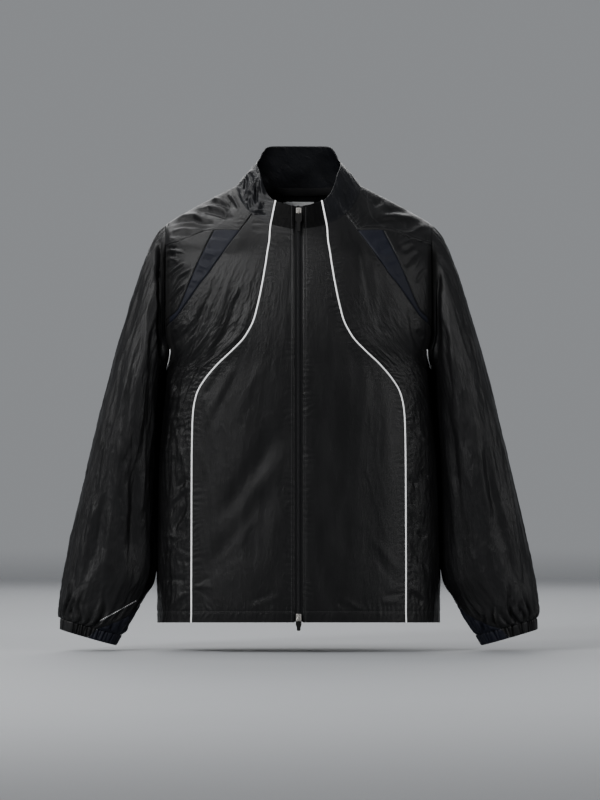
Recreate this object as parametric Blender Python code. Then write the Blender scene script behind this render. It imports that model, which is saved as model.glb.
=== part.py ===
# Track jacket, filled out as when it is worn, with no wearer in it.
# Metres, +Z up, the front towards -Y and the wearer's left towards +X.
# The origin is the middle of the neck at shoulder height, where the wearer carries the jacket.
#
# The torso is one smooth surface: rings that run level at the hem and tilt towards the neck seam.
# A place on it is a turn (0 at the front, pi at the back) and a level (0 at the hem, 16 at the
# neck). Seams are lines on that surface, and each sewn piece is the cloth between its seams.

from bisect import bisect_right
from collections import namedtuple
from math import cos, exp, hypot, pi, radians, sin

import bmesh
import bpy
from mathutils import Matrix, Vector

# ---- driving sizes ----
WALL = 0.0014               # shell cloth with its lining
FOLDED_WALL = 0.0020        # where the cloth is turned up at the hem, and in the collar
SEAM_GAP = 0.0003           # between neighbouring pieces
NECK_GAP = 0.0006           # between the body and the collar, whose walls lean together
ARMHOLE_GAP = 0.00039       # between the body and the sleeve
SHOULDER_SPREAD = 0.0006    # extra room where the sleeve bends down over the shoulder point
SHOULDER_ROLL = 0.12        # softness of the ridge along the top of the shoulder
BEND_WEIGHT = 0.08          # draws a panel's columns towards its bends
ROW_SAMPLES = 24            # places measured along a row before its columns are set

ARMHOLE_X = 0.2125          # the armhole lies in this upright plane
SCOOP_DEPTH = 0.0065        # the front of the armhole is hollowed towards the chest
SCOOP_Z = -0.262
SCOOP_HEIGHT = 0.017
ARMPIT_LEVEL = 7
SHOULDER_LEVEL = 13
NECK_LEVEL = 16

ZIP_HALF_OPENING = 0.0065   # the front edges stop this far from the middle
CHAIN_HALF_WIDTH = 0.0030
CHAIN_TOP = -0.0004         # heights are measured outwards from the cloth's outer face
CHAIN_BOTTOM = -0.0032
TAPE_TOP = -0.00240
TAPE_WALL = 0.0007
TAPE_INNER = 0.0033
TAPE_OUTER = 0.0115

PIPING_HALF_WIDTH = 0.0022
PIPING_LIFT = 0.00035
PIPING_HEIGHT = 0.0017

LABEL_HALF_WIDTH = 0.0245
LABEL_TOP_Z = -0.019
LABEL_BOTTOM_Z = -0.056
LABEL_GAP = 0.0004
LABEL_WALL = 0.0010

SLEEVE_ROUNDNESS = 2.15
CUFF_GATHER = 0.0013        # half the height of a gather in the elastic cuff
SLEEVE_GATHER = 0.0030      # and just above it, where the sleeve is fullest
CUFF_COLUMNS = 44
GUSSET_COLUMNS = 16
CUFF_WALL = 0.0016
GUSSET_APEX = 14.45         # sleeve row where the gusset comes to a point
GUSSET_AT_CUFF = 79         # degrees each way from the inner line
GUSSET_AT_END = 90
GUSSET_ROOM = 0.0073        # radians from the gusset's seam to each of its two pieces

# Torso, hem to neck: half width and height at the side, depth and height at front and back.
# The last column is how many mesh rows lead to the next line.
Ring = namedtuple("Ring", "side_x side_z front_y front_z back_y back_z square steps")
TORSO = (
    Ring(0.2256, -0.6950, 0.1250, -0.6915, 0.1215, -0.6965, 2.5, 1),    # hem
    Ring(0.2258, -0.6780, 0.1262, -0.6745, 0.1222, -0.6795, 2.5, 2),    # hem stitching
    Ring(0.2264, -0.6000, 0.1280, -0.5970, 0.1210, -0.6010, 2.5, 2),
    Ring(0.2262, -0.5200, 0.1290, -0.5180, 0.1190, -0.5210, 2.5, 2),
    Ring(0.2242, -0.4400, 0.1302, -0.4390, 0.1180, -0.4410, 2.5, 2),
    Ring(0.2190, -0.3700, 0.1320, -0.3700, 0.1190, -0.3700, 2.5, 3),
    Ring(0.2140, -0.3200, 0.1338, -0.3210, 0.1208, -0.3200, 2.5, 3),
    Ring(0.2125, -0.2850, 0.1345, -0.2880, 0.1222, -0.2850, 2.5, 2),    # armpit
    Ring(0.2190, -0.2500, 0.1342, -0.2580, 0.1235, -0.2490, 2.6, 2),
    Ring(0.2255, -0.2000, 0.1325, -0.2200, 0.1240, -0.1970, 2.7, 2),
    Ring(0.2272, -0.1500, 0.1292, -0.1860, 0.1225, -0.1480, 2.7, 2),
    Ring(0.2258, -0.1050, 0.1245, -0.1540, 0.1180, -0.1040, 2.6, 2),
    Ring(0.2195, -0.0750, 0.1195, -0.1290, 0.1110, -0.0730, 2.5, 2),
    Ring(0.2125, -0.0600, 0.1162, -0.1150, 0.1060, -0.0580, 2.45, 1),   # shoulder point
    Ring(0.1800, -0.0395, 0.1115, -0.0990, 0.0965, -0.0390, 2.3, 2),
    Ring(0.1400, -0.0175, 0.1052, -0.0830, 0.0855, -0.0205, 2.2, 2),
    Ring(0.1000, 0.0030, 0.0990, -0.0670, 0.0730, -0.0040, 2.1, 0),     # neck seam
)

# Seams, from the top down: distance from the middle and height.
SeamPoint = namedtuple("SeamPoint", "x z")
FRONT_PIPING = (
    SeamPoint(0.0475, -0.0921), SeamPoint(0.0515, -0.1174), SeamPoint(0.0554, -0.1412),
    SeamPoint(0.0598, -0.1650), SeamPoint(0.0649, -0.1887), SeamPoint(0.0713, -0.2125),
    SeamPoint(0.0836, -0.2362), SeamPoint(0.1049, -0.2600), SeamPoint(0.1299, -0.2838),
    SeamPoint(0.1497, -0.3075), SeamPoint(0.1624, -0.3313), SeamPoint(0.1671, -0.3550),
    SeamPoint(0.1687, -0.3788), SeamPoint(0.1692, -0.4026), SeamPoint(0.1701, -0.4976),
    SeamPoint(0.1705, -0.6000),
)
FRONT_PIPING_NECK_X = 0.0444
FRONT_PIPING_HEM_X = 0.1708
FRONT_PIPING_RIM_X = 0.0368

RAGLAN_SEAM = (
    SeamPoint(0.0947, -0.0699), SeamPoint(0.1069, -0.0858), SeamPoint(0.1236, -0.1095),
    SeamPoint(0.1405, -0.1333), SeamPoint(0.1592, -0.1570), SeamPoint(0.1814, -0.1887),
    SeamPoint(0.1950, -0.2070), SeamPoint(0.2125, -0.2255),
)
RAGLAN_NECK_X = 0.0745
INSERT_SEAM = (
    SeamPoint(0.1346, -0.0680), SeamPoint(0.1394, -0.0778), SeamPoint(0.1513, -0.1016),
    SeamPoint(0.1647, -0.1301), SeamPoint(0.1771, -0.1602), SeamPoint(0.1925, -0.1950),
    SeamPoint(0.2125, -0.2150),
)
YOKE_SEAM = (
    SeamPoint(0.0935, -0.0685), SeamPoint(0.1188, -0.0675), SeamPoint(0.1346, -0.0680),
    SeamPoint(0.1517, -0.0700), SeamPoint(0.1790, -0.0810), SeamPoint(0.2125, -0.0940),
)
BACK_YOKE_SEAM = (
    SeamPoint(0.0860, -0.0400), SeamPoint(0.1240, -0.0730), SeamPoint(0.1720, -0.1000),
    SeamPoint(0.2125, -0.1220),
)
BACK_YOKE_NECK_X = 0.0560
SIDE_SEAM = (
    SeamPoint(0.2075, -0.3020), SeamPoint(0.1970, -0.3220), SeamPoint(0.1840, -0.3480),
    SeamPoint(0.1755, -0.3800), SeamPoint(0.1715, -0.4250), SeamPoint(0.1705, -0.5000),
    SeamPoint(0.1708, -0.6000),
)
SIDE_SEAM_HEM_X = 0.1712
# The side piping starts in front, on the armhole's edge, and passes under the sleeve.
ARM_PIPING = (
    SeamPoint(0.2118, -0.2930), SeamPoint(0.2094, -0.2850), SeamPoint(0.2068, -0.2765),
    SeamPoint(0.2048, -0.2680), SeamPoint(0.2044, -0.2590),
)
ARM_PIPING_STEPS = 6        # across the side, from the back seam to the first of these points
ARM_PIPING_LIFT = 0.0008    # extra room over the panel's facets there

# Collar rim, back to front: its height for each depth.
RimPoint = namedtuple("RimPoint", "y z")
RIM = (
    RimPoint(-0.0840, -0.0302), RimPoint(-0.0785, -0.0260), RimPoint(-0.0690, -0.0212),
    RimPoint(-0.0571, -0.0104), RimPoint(-0.0476, 0.0020), RimPoint(-0.0330, 0.0220),
    RimPoint(-0.0050, 0.0375), RimPoint(0.0150, 0.0435), RimPoint(0.0255, 0.0490),
    RimPoint(0.0330, 0.0595), RimPoint(0.0400, 0.0665), RimPoint(0.0470, 0.0685),
    RimPoint(0.0580, 0.0690),
)
RIM_HALF_WIDTH = 0.0675
COLLAR_HEIGHT = 0.045       # along the cloth, in front
RIM_FRONT_SQUARE = 2.0
RIM_BACK_SQUARE = 2.2
COLLAR_BULGE = 0.0010
COLLAR_ROWS = 3

# Sleeve: outer and inner line in the front view, half depth, and shift towards the back.
SleeveRow = namedtuple("SleeveRow", "out_x out_z in_x in_z depth shift")
SLEEVE = (
    SleeveRow(0.2125, -0.0600, 0.2125, -0.2850, 0.0660, 0.000),     # armhole
    SleeveRow(0.2275, -0.0765, 0.2152, -0.2910, 0.0700, 0.000),
    SleeveRow(0.2384, -0.0960, 0.2167, -0.2975, 0.0735, 0.000),
    SleeveRow(0.2496, -0.1248, 0.2178, -0.3055, 0.0765, 0.000),
    SleeveRow(0.2632, -0.1632, 0.2190, -0.3160, 0.0790, 0.000),
    SleeveRow(0.2776, -0.2112, 0.2203, -0.3300, 0.0805, -0.001),
    SleeveRow(0.2920, -0.2570, 0.2216, -0.3500, 0.0810, -0.002),
    SleeveRow(0.3048, -0.3072, 0.2234, -0.3800, 0.0800, -0.003),
    SleeveRow(0.3180, -0.3550, 0.2254, -0.4130, 0.0775, -0.004),
    SleeveRow(0.3302, -0.4050, 0.2272, -0.4500, 0.0740, -0.005),
    SleeveRow(0.3432, -0.4608, 0.2288, -0.4960, 0.0690, -0.006),
    SleeveRow(0.3565, -0.5180, 0.2292, -0.5450, 0.0630, -0.007),
    SleeveRow(0.3670, -0.5670, 0.2296, -0.5890, 0.0575, -0.008),
    SleeveRow(0.3745, -0.6060, 0.2320, -0.6260, 0.0530, -0.009),
    SleeveRow(0.3798, -0.6380, 0.2405, -0.6530, 0.0490, -0.010),
    SleeveRow(0.3828, -0.6620, 0.2525, -0.6760, 0.0460, -0.010),
    SleeveRow(0.3832, -0.6770, 0.2660, -0.6950, 0.0425, -0.010),
    SleeveRow(0.3812, -0.6876, 0.2822, -0.7146, 0.0370, -0.010),    # cuff seam
)
CUFF_TOP = SleeveRow(0.3808, -0.6882, 0.2832, -0.7152, 0.0350, -0.010)
CUFF_END = SleeveRow(0.3814, -0.7056, 0.2923, -0.7312, 0.0325, -0.010)
COARSE_ROWS = (0, 0.6, 1.6, 3, 4.5, 6, 7.5, 9, 10.5, 12, 13)
FULL_ROWS = (14, GUSSET_APEX)               # twice the columns, for the gathers
GUSSET_ROWS = (14.75, 15.2, 16, 17)         # beside the gusset, down to the cuff seam
CUFF_SHARES = (0, 0.5, 1)

# Largest folds of the body, as troughs on the front and back: ends, half width and depth.
Fold = namedtuple("Fold", "x0 z0 x1 z1 reach depth")
FRONT_FOLDS = (
    Fold(-0.020, -0.372, -0.128, -0.540, 0.017, 0.0055),
    Fold(-0.030, -0.455, -0.160, -0.625, 0.016, 0.0045),
    Fold(-0.052, -0.480, -0.070, -0.610, 0.018, 0.0030),
    Fold(-0.145, -0.150, -0.165, -0.330, 0.015, 0.0028),
    Fold(-0.090, -0.165, -0.112, -0.245, 0.014, 0.0022),
    Fold(0.060, -0.300, 0.075, -0.600, 0.022, 0.0030),
    Fold(0.120, -0.340, 0.112, -0.640, 0.020, 0.0028),
    Fold(0.110, -0.130, 0.128, -0.250, 0.016, 0.0026),
    Fold(-0.190, -0.430, -0.180, -0.640, 0.014, 0.0030),
    Fold(0.192, -0.420, 0.184, -0.640, 0.014, 0.0030),
)
BACK_FOLDS = (
    Fold(-0.150, -0.130, -0.070, -0.300, 0.018, 0.0045),
    Fold(0.152, -0.135, 0.080, -0.290, 0.018, 0.0045),
    Fold(-0.060, -0.330, -0.115, -0.600, 0.020, 0.0050),
    Fold(0.020, -0.300, 0.006, -0.620, 0.022, 0.0045),
    Fold(0.085, -0.360, 0.130, -0.620, 0.018, 0.0040),
    Fold(-0.020, -0.100, 0.024, -0.210, 0.018, 0.0025),
)
# Long folds of a sleeve: turn about it (0 inside, 90 front), first and last row, width, height.
SleeveFold = namedtuple("SleeveFold", "turn first last width height")
SLEEVE_FOLDS = (
    SleeveFold(58, 5.0, 13.5, 13, -0.0050),
    SleeveFold(92, 3.0, 14.0, 12, 0.0030),
    SleeveFold(112, 8.0, 14.5, 10, -0.0040),
    SleeveFold(140, 2.0, 12.0, 13, 0.0028),
    SleeveFold(165, 7.0, 15.0, 12, -0.0030),
    SleeveFold(196, 3.0, 13.0, 13, -0.0036),
    SleeveFold(228, 5.0, 14.5, 12, 0.0032),
    SleeveFold(256, 4.0, 14.0, 12, -0.0045),
    SleeveFold(290, 8.0, 14.5, 11, 0.0030),
    SleeveFold(312, 6.0, 13.0, 12, -0.0040),
)

# Zip sliders and their pulls: height on the front, and which way the pull hangs.
Slider = namedtuple("Slider", "name z wide_length narrow_length wide narrow")
SLIDERS = (
    Slider("top", -0.0400, 0.0130, 0.0195, 0.0104, 0.0046),
    Slider("bottom", -0.6840, 0.0065, 0.0085, 0.0092, 0.0060),
)
SLIDER_WIDTH = 0.0086
SLIDER_LENGTH = 0.0125
SLIDER_THICKNESS = 0.0022
BRIDGE_WIDTH = 0.0026
BRIDGE_LENGTH = 0.0070
BRIDGE_HEIGHT = 0.0036      # above the slider's face
BRIDGE_ROOT = 0.0008        # and how far it is sunk into it
EYE_OUT = 0.0039            # the eye's axis above the slider's back, which is the joint's axis
EYE_RADIUS = 0.0011
WIRE_RADIUS = 0.00055
LOOP_HALF_WIDTH = 0.0027
LOOP_LENGTH = 0.0082
LOOP_CORNER = 0.0009
TAB_THICKNESS = 0.0028
TAB_OVERLAP = 0.0030        # how far the moulded tab covers the wire loop

# ---- colours: base colour, roughness, metallic ----
BLACK_CLOTH = ((0.010, 0.010, 0.011), 0.55, 0.0)
NAVY_CLOTH = ((0.012, 0.014, 0.022), 0.60, 0.0)
COLLAR_CLOTH = ((0.012, 0.013, 0.017), 0.60, 0.0)
WHITE_PIPING = ((0.80, 0.80, 0.80), 0.45, 0.0)
ZIP_TAPE = ((0.012, 0.012, 0.013), 0.80, 0.0)
ZIP_CHAIN = ((0.015, 0.015, 0.016), 0.40, 0.0)
ZIP_METAL = ((0.62, 0.62, 0.64), 0.28, 1.0)
PULL_RUBBER = ((0.012, 0.012, 0.012), 0.50, 0.0)
LABEL_GREY = ((0.33, 0.33, 0.34), 0.70, 0.0)


# ---- smooth tables ----

class SmoothTable:
    """Curves through the columns of a table, with no overshoot between its keys."""

    def __init__(self, keys, rows):
        self.keys = list(keys)
        self.rows = [tuple(row) for row in rows]
        self.slopes = [self._slope(index) for index in range(len(self.keys))]

    def _slope(self, index):
        last = len(self.keys) - 1
        if index == 0 or index == last:
            near = min(index, last - 1)
            step = self.keys[near + 1] - self.keys[near]
            return tuple((b - a) / step for a, b in zip(self.rows[near], self.rows[near + 1]))
        before = self.keys[index] - self.keys[index - 1]
        after = self.keys[index + 1] - self.keys[index]
        slopes = []
        for a, b, c in zip(self.rows[index - 1], self.rows[index], self.rows[index + 1]):
            left = (b - a) / before
            right = (c - b) / after
            if left * right <= 0:
                slopes.append(0.0)
            else:
                heavy = 2 * after + before
                light = after + 2 * before
                slopes.append((heavy + light) / (heavy / left + light / right))
        return tuple(slopes)

    def at(self, key):
        key = min(max(key, self.keys[0]), self.keys[-1])
        index = min(bisect_right(self.keys, key), len(self.keys) - 1) - 1
        index = max(index, 0)
        step = self.keys[index + 1] - self.keys[index]
        t = (key - self.keys[index]) / step
        h00 = (1 + 2 * t) * (1 - t) ** 2
        h10 = t * (1 - t) ** 2
        h01 = t * t * (3 - 2 * t)
        h11 = t * t * (t - 1)
        columns = zip(self.rows[index], self.rows[index + 1],
                      self.slopes[index], self.slopes[index + 1])
        return tuple(h00 * a + h10 * step * m + h01 * b + h11 * step * n
                     for a, b, m, n in columns)


def fade(value, low, high):
    """0 below low, 1 above high, and a soft step between them."""
    t = min(max((value - low) / (high - low), 0.0), 1.0)
    return t * t * (3 - 2 * t)


def solve(function, low, high):
    """The argument between low and high where a rising function crosses zero."""
    for _ in range(34):
        middle = (low + high) / 2
        if function(middle) < 0:
            low = middle
        else:
            high = middle
    return (low + high) / 2


# ---- the torso's surface ----

torso_table = SmoothTable(range(len(TORSO)), [row[:7] for row in TORSO])
rim_table = SmoothTable([point.y for point in RIM], [(point.z,) for point in RIM])


def bare_torso_point(turn, level):
    """A point of the torso without folds."""
    side_x, side_z, front_y, front_z, back_y, back_z, square = torso_table.at(level)
    depth, end_z = (front_y, front_z) if cos(turn) > 0 else (back_y, back_z)
    reach = (abs(sin(turn) / side_x) ** square + abs(cos(turn) / depth) ** square) ** (-1 / square)
    x = reach * sin(turn)
    y = -reach * cos(turn)
    share = abs(y) / depth
    lean = (hypot(share, SHOULDER_ROLL) - SHOULDER_ROLL) / (hypot(1, SHOULDER_ROLL) - SHOULDER_ROLL)
    return Vector((x, y, side_z + (end_z - side_z) * lean))


def torso_normal(turn, level):
    """The outward direction of the torso's surface."""
    around = bare_torso_point(turn + 0.002, level) - bare_torso_point(turn - 0.002, level)
    low = max(level - 0.02, 0)
    high = min(level + 0.02, NECK_LEVEL)
    upward = bare_torso_point(turn, high) - bare_torso_point(turn, low)
    return around.cross(upward).normalized()


def fold_depth(point):
    """How deep the large folds press the body in at a point."""
    folds = FRONT_FOLDS if point.y < 0 else BACK_FOLDS
    depth = 0.0
    for fold in folds:
        run_x = fold.x1 - fold.x0
        run_z = fold.z1 - fold.z0
        length = hypot(run_x, run_z)
        off_x = point.x - fold.x0
        off_z = point.z - fold.z0
        along = (off_x * run_x + off_z * run_z) / length
        across = (off_x * run_z - off_z * run_x) / length
        end = fade(along, -0.01, 0.3 * length) * (1 - fade(along, 0.7 * length, length + 0.01))
        depth += fold.depth * end * exp(-(across / fold.reach) ** 2)
    return depth


def turn_for_x(x, level, behind=False):
    """The turn at which a ring reaches a distance from the middle."""
    if x >= torso_table.at(level)[0]:
        return pi / 2
    turn = solve(lambda angle: bare_torso_point(angle, level).x - x, 0, pi / 2)
    if behind:
        turn = solve(lambda angle: x - bare_torso_point(angle, level).x, pi / 2, pi)
    return turn


def place(point, behind=False):
    """The level and turn of a seam point given by its distance from the middle and height."""
    level = solve(lambda ring: bare_torso_point(turn_for_x(point.x, ring, behind), ring).z - point.z,
                  0, NECK_LEVEL)
    return level, turn_for_x(point.x, level, behind)


def seam(points, behind=False, neck_x=None, hem_x=None, top=None):
    """A seam through its points, as a table from level to turn."""
    places = [place(point, behind) for point in points]
    if neck_x is not None:
        places.append((NECK_LEVEL, turn_for_x(neck_x, NECK_LEVEL, behind)))
    if hem_x is not None:
        places.append((0, turn_for_x(hem_x, 0, behind)))
    if top is not None:
        places.append(top)
    places.sort()
    return SmoothTable([level for level, _ in places], [(turn,) for _, turn in places])


def armhole_turn(level, behind=False):
    """Where the armhole's edge crosses a ring, in front or behind."""
    if level <= ARMPIT_LEVEL or level >= SHOULDER_LEVEL:
        return pi / 2
    x = ARMHOLE_X
    if not behind:
        z = bare_torso_point(turn_for_x(x, level), level).z
        x -= SCOOP_DEPTH * exp(-((z - SCOOP_Z) / SCOOP_HEIGHT) ** 2)
    return turn_for_x(x, level, behind)


front_piping = seam(FRONT_PIPING, neck_x=FRONT_PIPING_NECK_X, hem_x=FRONT_PIPING_HEM_X)
raglan_seam = seam(RAGLAN_SEAM, neck_x=RAGLAN_NECK_X)
insert_seam = seam(INSERT_SEAM)
yoke_seam = seam(YOKE_SEAM)
back_yoke_seam = seam(BACK_YOKE_SEAM, behind=True, neck_x=BACK_YOKE_NECK_X)
side_seam = seam(SIDE_SEAM, behind=True, hem_x=SIDE_SEAM_HEM_X, top=(ARMPIT_LEVEL, pi / 2))

RAGLAN_ARM_LEVEL = raglan_seam.keys[0]
INSERT_ARM_LEVEL = insert_seam.keys[0]
INSERT_TOP_LEVEL = insert_seam.keys[-1]
YOKE_ARM_LEVEL = yoke_seam.keys[0]
YOKE_NECK_LEVEL = yoke_seam.keys[-1]
BACK_YOKE_ARM_LEVEL = back_yoke_seam.keys[0]


def mesh_levels():
    """Levels of the mesh's rows: the table's steps and the levels where seams meet."""
    fixed = [0, 1, 1.15, ARMPIT_LEVEL, ARMPIT_LEVEL + 0.08, SHOULDER_LEVEL - 0.12, SHOULDER_LEVEL,
             NECK_LEVEL, RAGLAN_ARM_LEVEL, INSERT_ARM_LEVEL, INSERT_TOP_LEVEL, YOKE_ARM_LEVEL,
             YOKE_NECK_LEVEL, BACK_YOKE_ARM_LEVEL]
    levels = list(fixed)
    for index, row in enumerate(TORSO[:-1]):
        for step in range(row.steps):
            level = index + step / row.steps
            if min(abs(level - other) for other in fixed) > 0.17:
                levels.append(level)
    return sorted(levels)


LEVELS = mesh_levels()


def levels_between(low, high):
    return [level for level in LEVELS if low - 1e-6 <= level <= high + 1e-6]


# ---- cloth ----

class Cloth:
    """Outer points of one sewn piece, each with its outward direction and its wall."""

    def __init__(self):
        self.points = []
        self.normals = []
        self.walls = []
        self.faces = []
        self.index = {}

    def add_point(self, point, normal, wall):
        key = tuple(round(value * 1e6) for value in point)
        if key not in self.index:
            self.index[key] = len(self.points)
            self.points.append(Vector(point))
            self.normals.append(Vector(normal))
            self.walls.append(wall)
        return self.index[key]

    def add_face(self, *corners):
        if len(set(corners)) == 3:
            self.faces.append(list(corners))

    def add_strip(self, rows):
        """Triangles between rows of (point, normal, wall). A row may have twice the one before.

        Both faces of the cloth are split alike, so its wall stays even.
        """
        numbered = [[self.add_point(*item) for item in row] for row in rows]
        for low, high in zip(numbered, numbered[1:]):
            for column in range(len(low) - 1):
                a, b = low[column], low[column + 1]
                if len(low) == len(high):
                    c, d = high[column + 1], high[column]
                    self.add_face(a, b, c)
                    self.add_face(a, c, d)
                else:
                    c, middle, d = high[2 * column + 2], high[2 * column + 1], high[2 * column]
                    self.add_face(a, b, middle)
                    self.add_face(b, c, middle)
                    self.add_face(a, middle, d)

    def build(self, name, finish, flipped=False):
        """The closed solid: outer face, inner face, and the edge that joins them."""
        count = len(self.points)
        inner = [point - normal * wall
                 for point, normal, wall in zip(self.points, self.normals, self.walls)]
        outer_faces = [list(reversed(face)) if flipped else list(face) for face in self.faces]
        inner_faces = [[corner + count for corner in reversed(face)] for face in outer_faces]
        directed = set()
        for face in outer_faces:
            for number, corner in enumerate(face):
                directed.add((face[number - 1], corner))
        rims = [[b, a, a + count, b + count] for a, b in sorted(directed) if (b, a) not in directed]
        mesh = bpy.data.meshes.new(name)
        mesh.from_pydata(self.points + inner, [], outer_faces + inner_faces + rims)
        mesh.validate()
        mesh.shade_smooth()
        mesh.set_sharp_from_angle(angle=radians(50))
        return add_object(name, mesh, finish)


def add_object(name, mesh, finish):
    obj = bpy.data.objects.new(name, mesh)
    jacket_collection.objects.link(obj)
    obj.data.materials.append(make_material(name, finish))
    return obj


def make_material(name, finish):
    colour, roughness, metallic = finish
    material = bpy.data.materials.new(name)
    material.use_nodes = True
    shader = material.node_tree.nodes["Principled BSDF"]
    shader.inputs["Base Color"].default_value = (*colour, 1.0)
    shader.inputs["Roughness"].default_value = roughness
    shader.inputs["Metallic"].default_value = metallic
    return material


def mirrored(point, side):
    return Vector((point.x * side, point.y, point.z))


def torso_item(turn, level, side, height=0.0):
    wall = FOLDED_WALL if level <= 1 else WALL
    point = bare_torso_point(turn, level)
    placed = mirrored(point, side)
    normal = torso_normal(turn, level)
    sunk = height - fold_depth(placed)
    return placed + mirrored(normal, side) * sunk, mirrored(normal, side), wall


def seam_room(turn_at, level, distance):
    """How far along its ring a piece must stop to stay a distance away from a seam."""
    low = max(level - 0.04, 0)
    high = min(level + 0.04, NECK_LEVEL)
    along = bare_torso_point(turn_at(high), high) - bare_torso_point(turn_at(low), low)
    turn = turn_at(level)
    around = bare_torso_point(turn + 0.003, level) - bare_torso_point(turn - 0.003, level)
    slant = along.cross(around).length / (along.length * around.length)
    return distance / max(slant, 0.35) / (around.length / 0.006)


def torso_row(level, start, end, columns, side, start_room=SEAM_GAP / 2, end_room=SEAM_GAP / 2):
    """One row of a panel, between two seams given as functions from level to turn."""
    first = start(level) + seam_room(start, level, start_room)
    last = end(level) - seam_room(end, level, end_room)
    fine = [first + (last - first) * step / ROW_SAMPLES for step in range(ROW_SAMPLES + 1)]
    points = [bare_torso_point(turn, level) for turn in fine]
    lengths = [0.0]
    for number, (a, b) in enumerate(zip(points, points[1:])):
        bend = (b - a).angle(a - points[number - 1], 0.0) if number else 0.0
        lengths.append(lengths[-1] + (b - a).length + BEND_WEIGHT * bend)
    turns = []
    for column in range(columns + 1):
        wanted = lengths[-1] * column / columns
        spot = min(bisect_right(lengths, wanted), ROW_SAMPLES)
        span = lengths[spot] - lengths[spot - 1]
        part = (wanted - lengths[spot - 1]) / span
        turns.append(fine[spot - 1] + (fine[spot] - fine[spot - 1]) * part)
    return [torso_item(turn, level, side) for turn in turns]


def build_panel(name, finish, side, low, high, start, end, columns, trim=(0.0, 0.0)):
    """A panel of the body between two seams and two levels."""
    cloth = Cloth()
    levels = levels_between(low, high)
    levels[0] += trim[0]
    levels[-1] -= trim[1]
    cloth.add_strip([torso_row(level, start, end, columns, side) for level in levels])
    return cloth.build(name, finish, flipped=side < 0)


def zip_turn(level):
    return turn_for_x(ZIP_HALF_OPENING - SEAM_GAP / 2, level)


def piping_turn(level):
    return front_piping.at(level)[0]


def raglan_turn(level):
    return raglan_seam.at(level)[0]


def insert_turn(level):
    return insert_seam.at(level)[0]


def yoke_turn(level):
    if level > YOKE_NECK_LEVEL:
        return raglan_turn(level)
    return yoke_seam.at(level)[0]


def back_yoke_turn(level):
    return back_yoke_seam.at(level)[0]


def side_panel_edge(level):
    """The side panel ends at the side seam, then at the armhole, then at the raglan seam."""
    if level <= ARMPIT_LEVEL:
        return side_seam.at(level)[0]
    if level <= RAGLAN_ARM_LEVEL:
        return armhole_turn(level)
    return raglan_turn(level)


def insert_edge(level):
    if level <= INSERT_ARM_LEVEL:
        return armhole_turn(level)
    if level >= INSERT_TOP_LEVEL:
        return yoke_turn(level)
    return insert_turn(level)


def shoulder_edge(level):
    return armhole_turn(level) if level <= YOKE_ARM_LEVEL else yoke_turn(level)


def back_edge(level):
    """The back starts at the side seam, then at the armhole, then at the yoke."""
    if level <= ARMPIT_LEVEL:
        return side_seam.at(level)[0]
    if level <= BACK_YOKE_ARM_LEVEL:
        return armhole_turn(level, behind=True)
    return back_yoke_turn(level)


def middle_back(level):
    return pi


def build_body():
    for side, hand in ((1, "left"), (-1, "right")):
        build_panel(f"front_{hand}", BLACK_CLOTH, side, 0, NECK_LEVEL, zip_turn, piping_turn, 5)
        build_panel(f"side_{hand}", BLACK_CLOTH, side, 0, NECK_LEVEL,
                    piping_turn, side_panel_edge, 7)
        build_panel(f"insert_{hand}", NAVY_CLOTH, side, RAGLAN_ARM_LEVEL, YOKE_NECK_LEVEL,
                    raglan_turn, insert_edge, 2, trim=(0.05, 0.05))
        build_panel(f"shoulder_front_{hand}", BLACK_CLOTH, side, INSERT_ARM_LEVEL,
                    INSERT_TOP_LEVEL, insert_turn, shoulder_edge, 3, trim=(0.05, 0.05))
        build_yoke(f"yoke_{hand}", side)
    build_back()


def build_yoke(name, side):
    """Over the shoulder, in two halves that join along its ridge above the armhole."""
    cloth = Cloth()
    rows = []
    for level in levels_between(YOKE_ARM_LEVEL, NECK_LEVEL):
        room = SEAM_GAP / 2 if level < SHOULDER_LEVEL else 0
        rows.append(torso_row(level + (0.04 if level == YOKE_ARM_LEVEL else 0),
                              yoke_turn, armhole_turn, 4, side, end_room=room))
    cloth.add_strip(rows)
    rows = []
    for level in levels_between(BACK_YOKE_ARM_LEVEL, NECK_LEVEL):
        room = SEAM_GAP / 2 if level < SHOULDER_LEVEL else 0
        rows.append(torso_row(level + (0.04 if level == BACK_YOKE_ARM_LEVEL else 0),
                              lambda ring: armhole_turn(ring, behind=True), back_yoke_turn,
                              4, side, start_room=room))
    cloth.add_strip(rows)
    cloth.build(name, BLACK_CLOTH, flipped=side < 0)


def build_back():
    """One panel across the back, from side seam to side seam."""
    cloth = Cloth()
    rows = []
    for level in LEVELS:
        half = torso_row(level, back_edge, middle_back, 6, 1, end_room=0)
        other = torso_row(level, back_edge, middle_back, 6, -1, end_room=0)
        rows.append(half + list(reversed(other))[1:])
    cloth.add_strip(rows)
    cloth.build("back", BLACK_CLOTH)


# ---- collar ----

def rim_point(turn):
    """The collar's top edge, low in front and high behind."""
    depth = -RIM[0].y if cos(turn) > 0 else RIM[-1].y
    square = RIM_FRONT_SQUARE if cos(turn) > 0 else RIM_BACK_SQUARE
    reach = (abs(sin(turn) / RIM_HALF_WIDTH) ** square + abs(cos(turn) / depth) ** square)
    reach **= -1 / square
    y = -reach * cos(turn)
    return Vector((reach * sin(turn), y, rim_table.at(y)[0]))


def collar_point(turn, rise):
    """A point of the collar, 0 at the neck seam and 1 at the rim."""
    foot = bare_torso_point(turn, NECK_LEVEL)
    top = rim_point(turn)
    point = foot.lerp(top, rise)
    outward = Vector((sin(turn), -cos(turn), 0.4))
    return point + outward * COLLAR_BULGE * 4 * rise * (1 - rise)


def collar_normal(turn, rise):
    around = collar_point(turn + 0.004, rise) - collar_point(turn - 0.004, rise)
    upward = collar_point(turn, min(rise + 0.02, 1)) - collar_point(turn, max(rise - 0.02, 0))
    return around.cross(upward).normalized()


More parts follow.
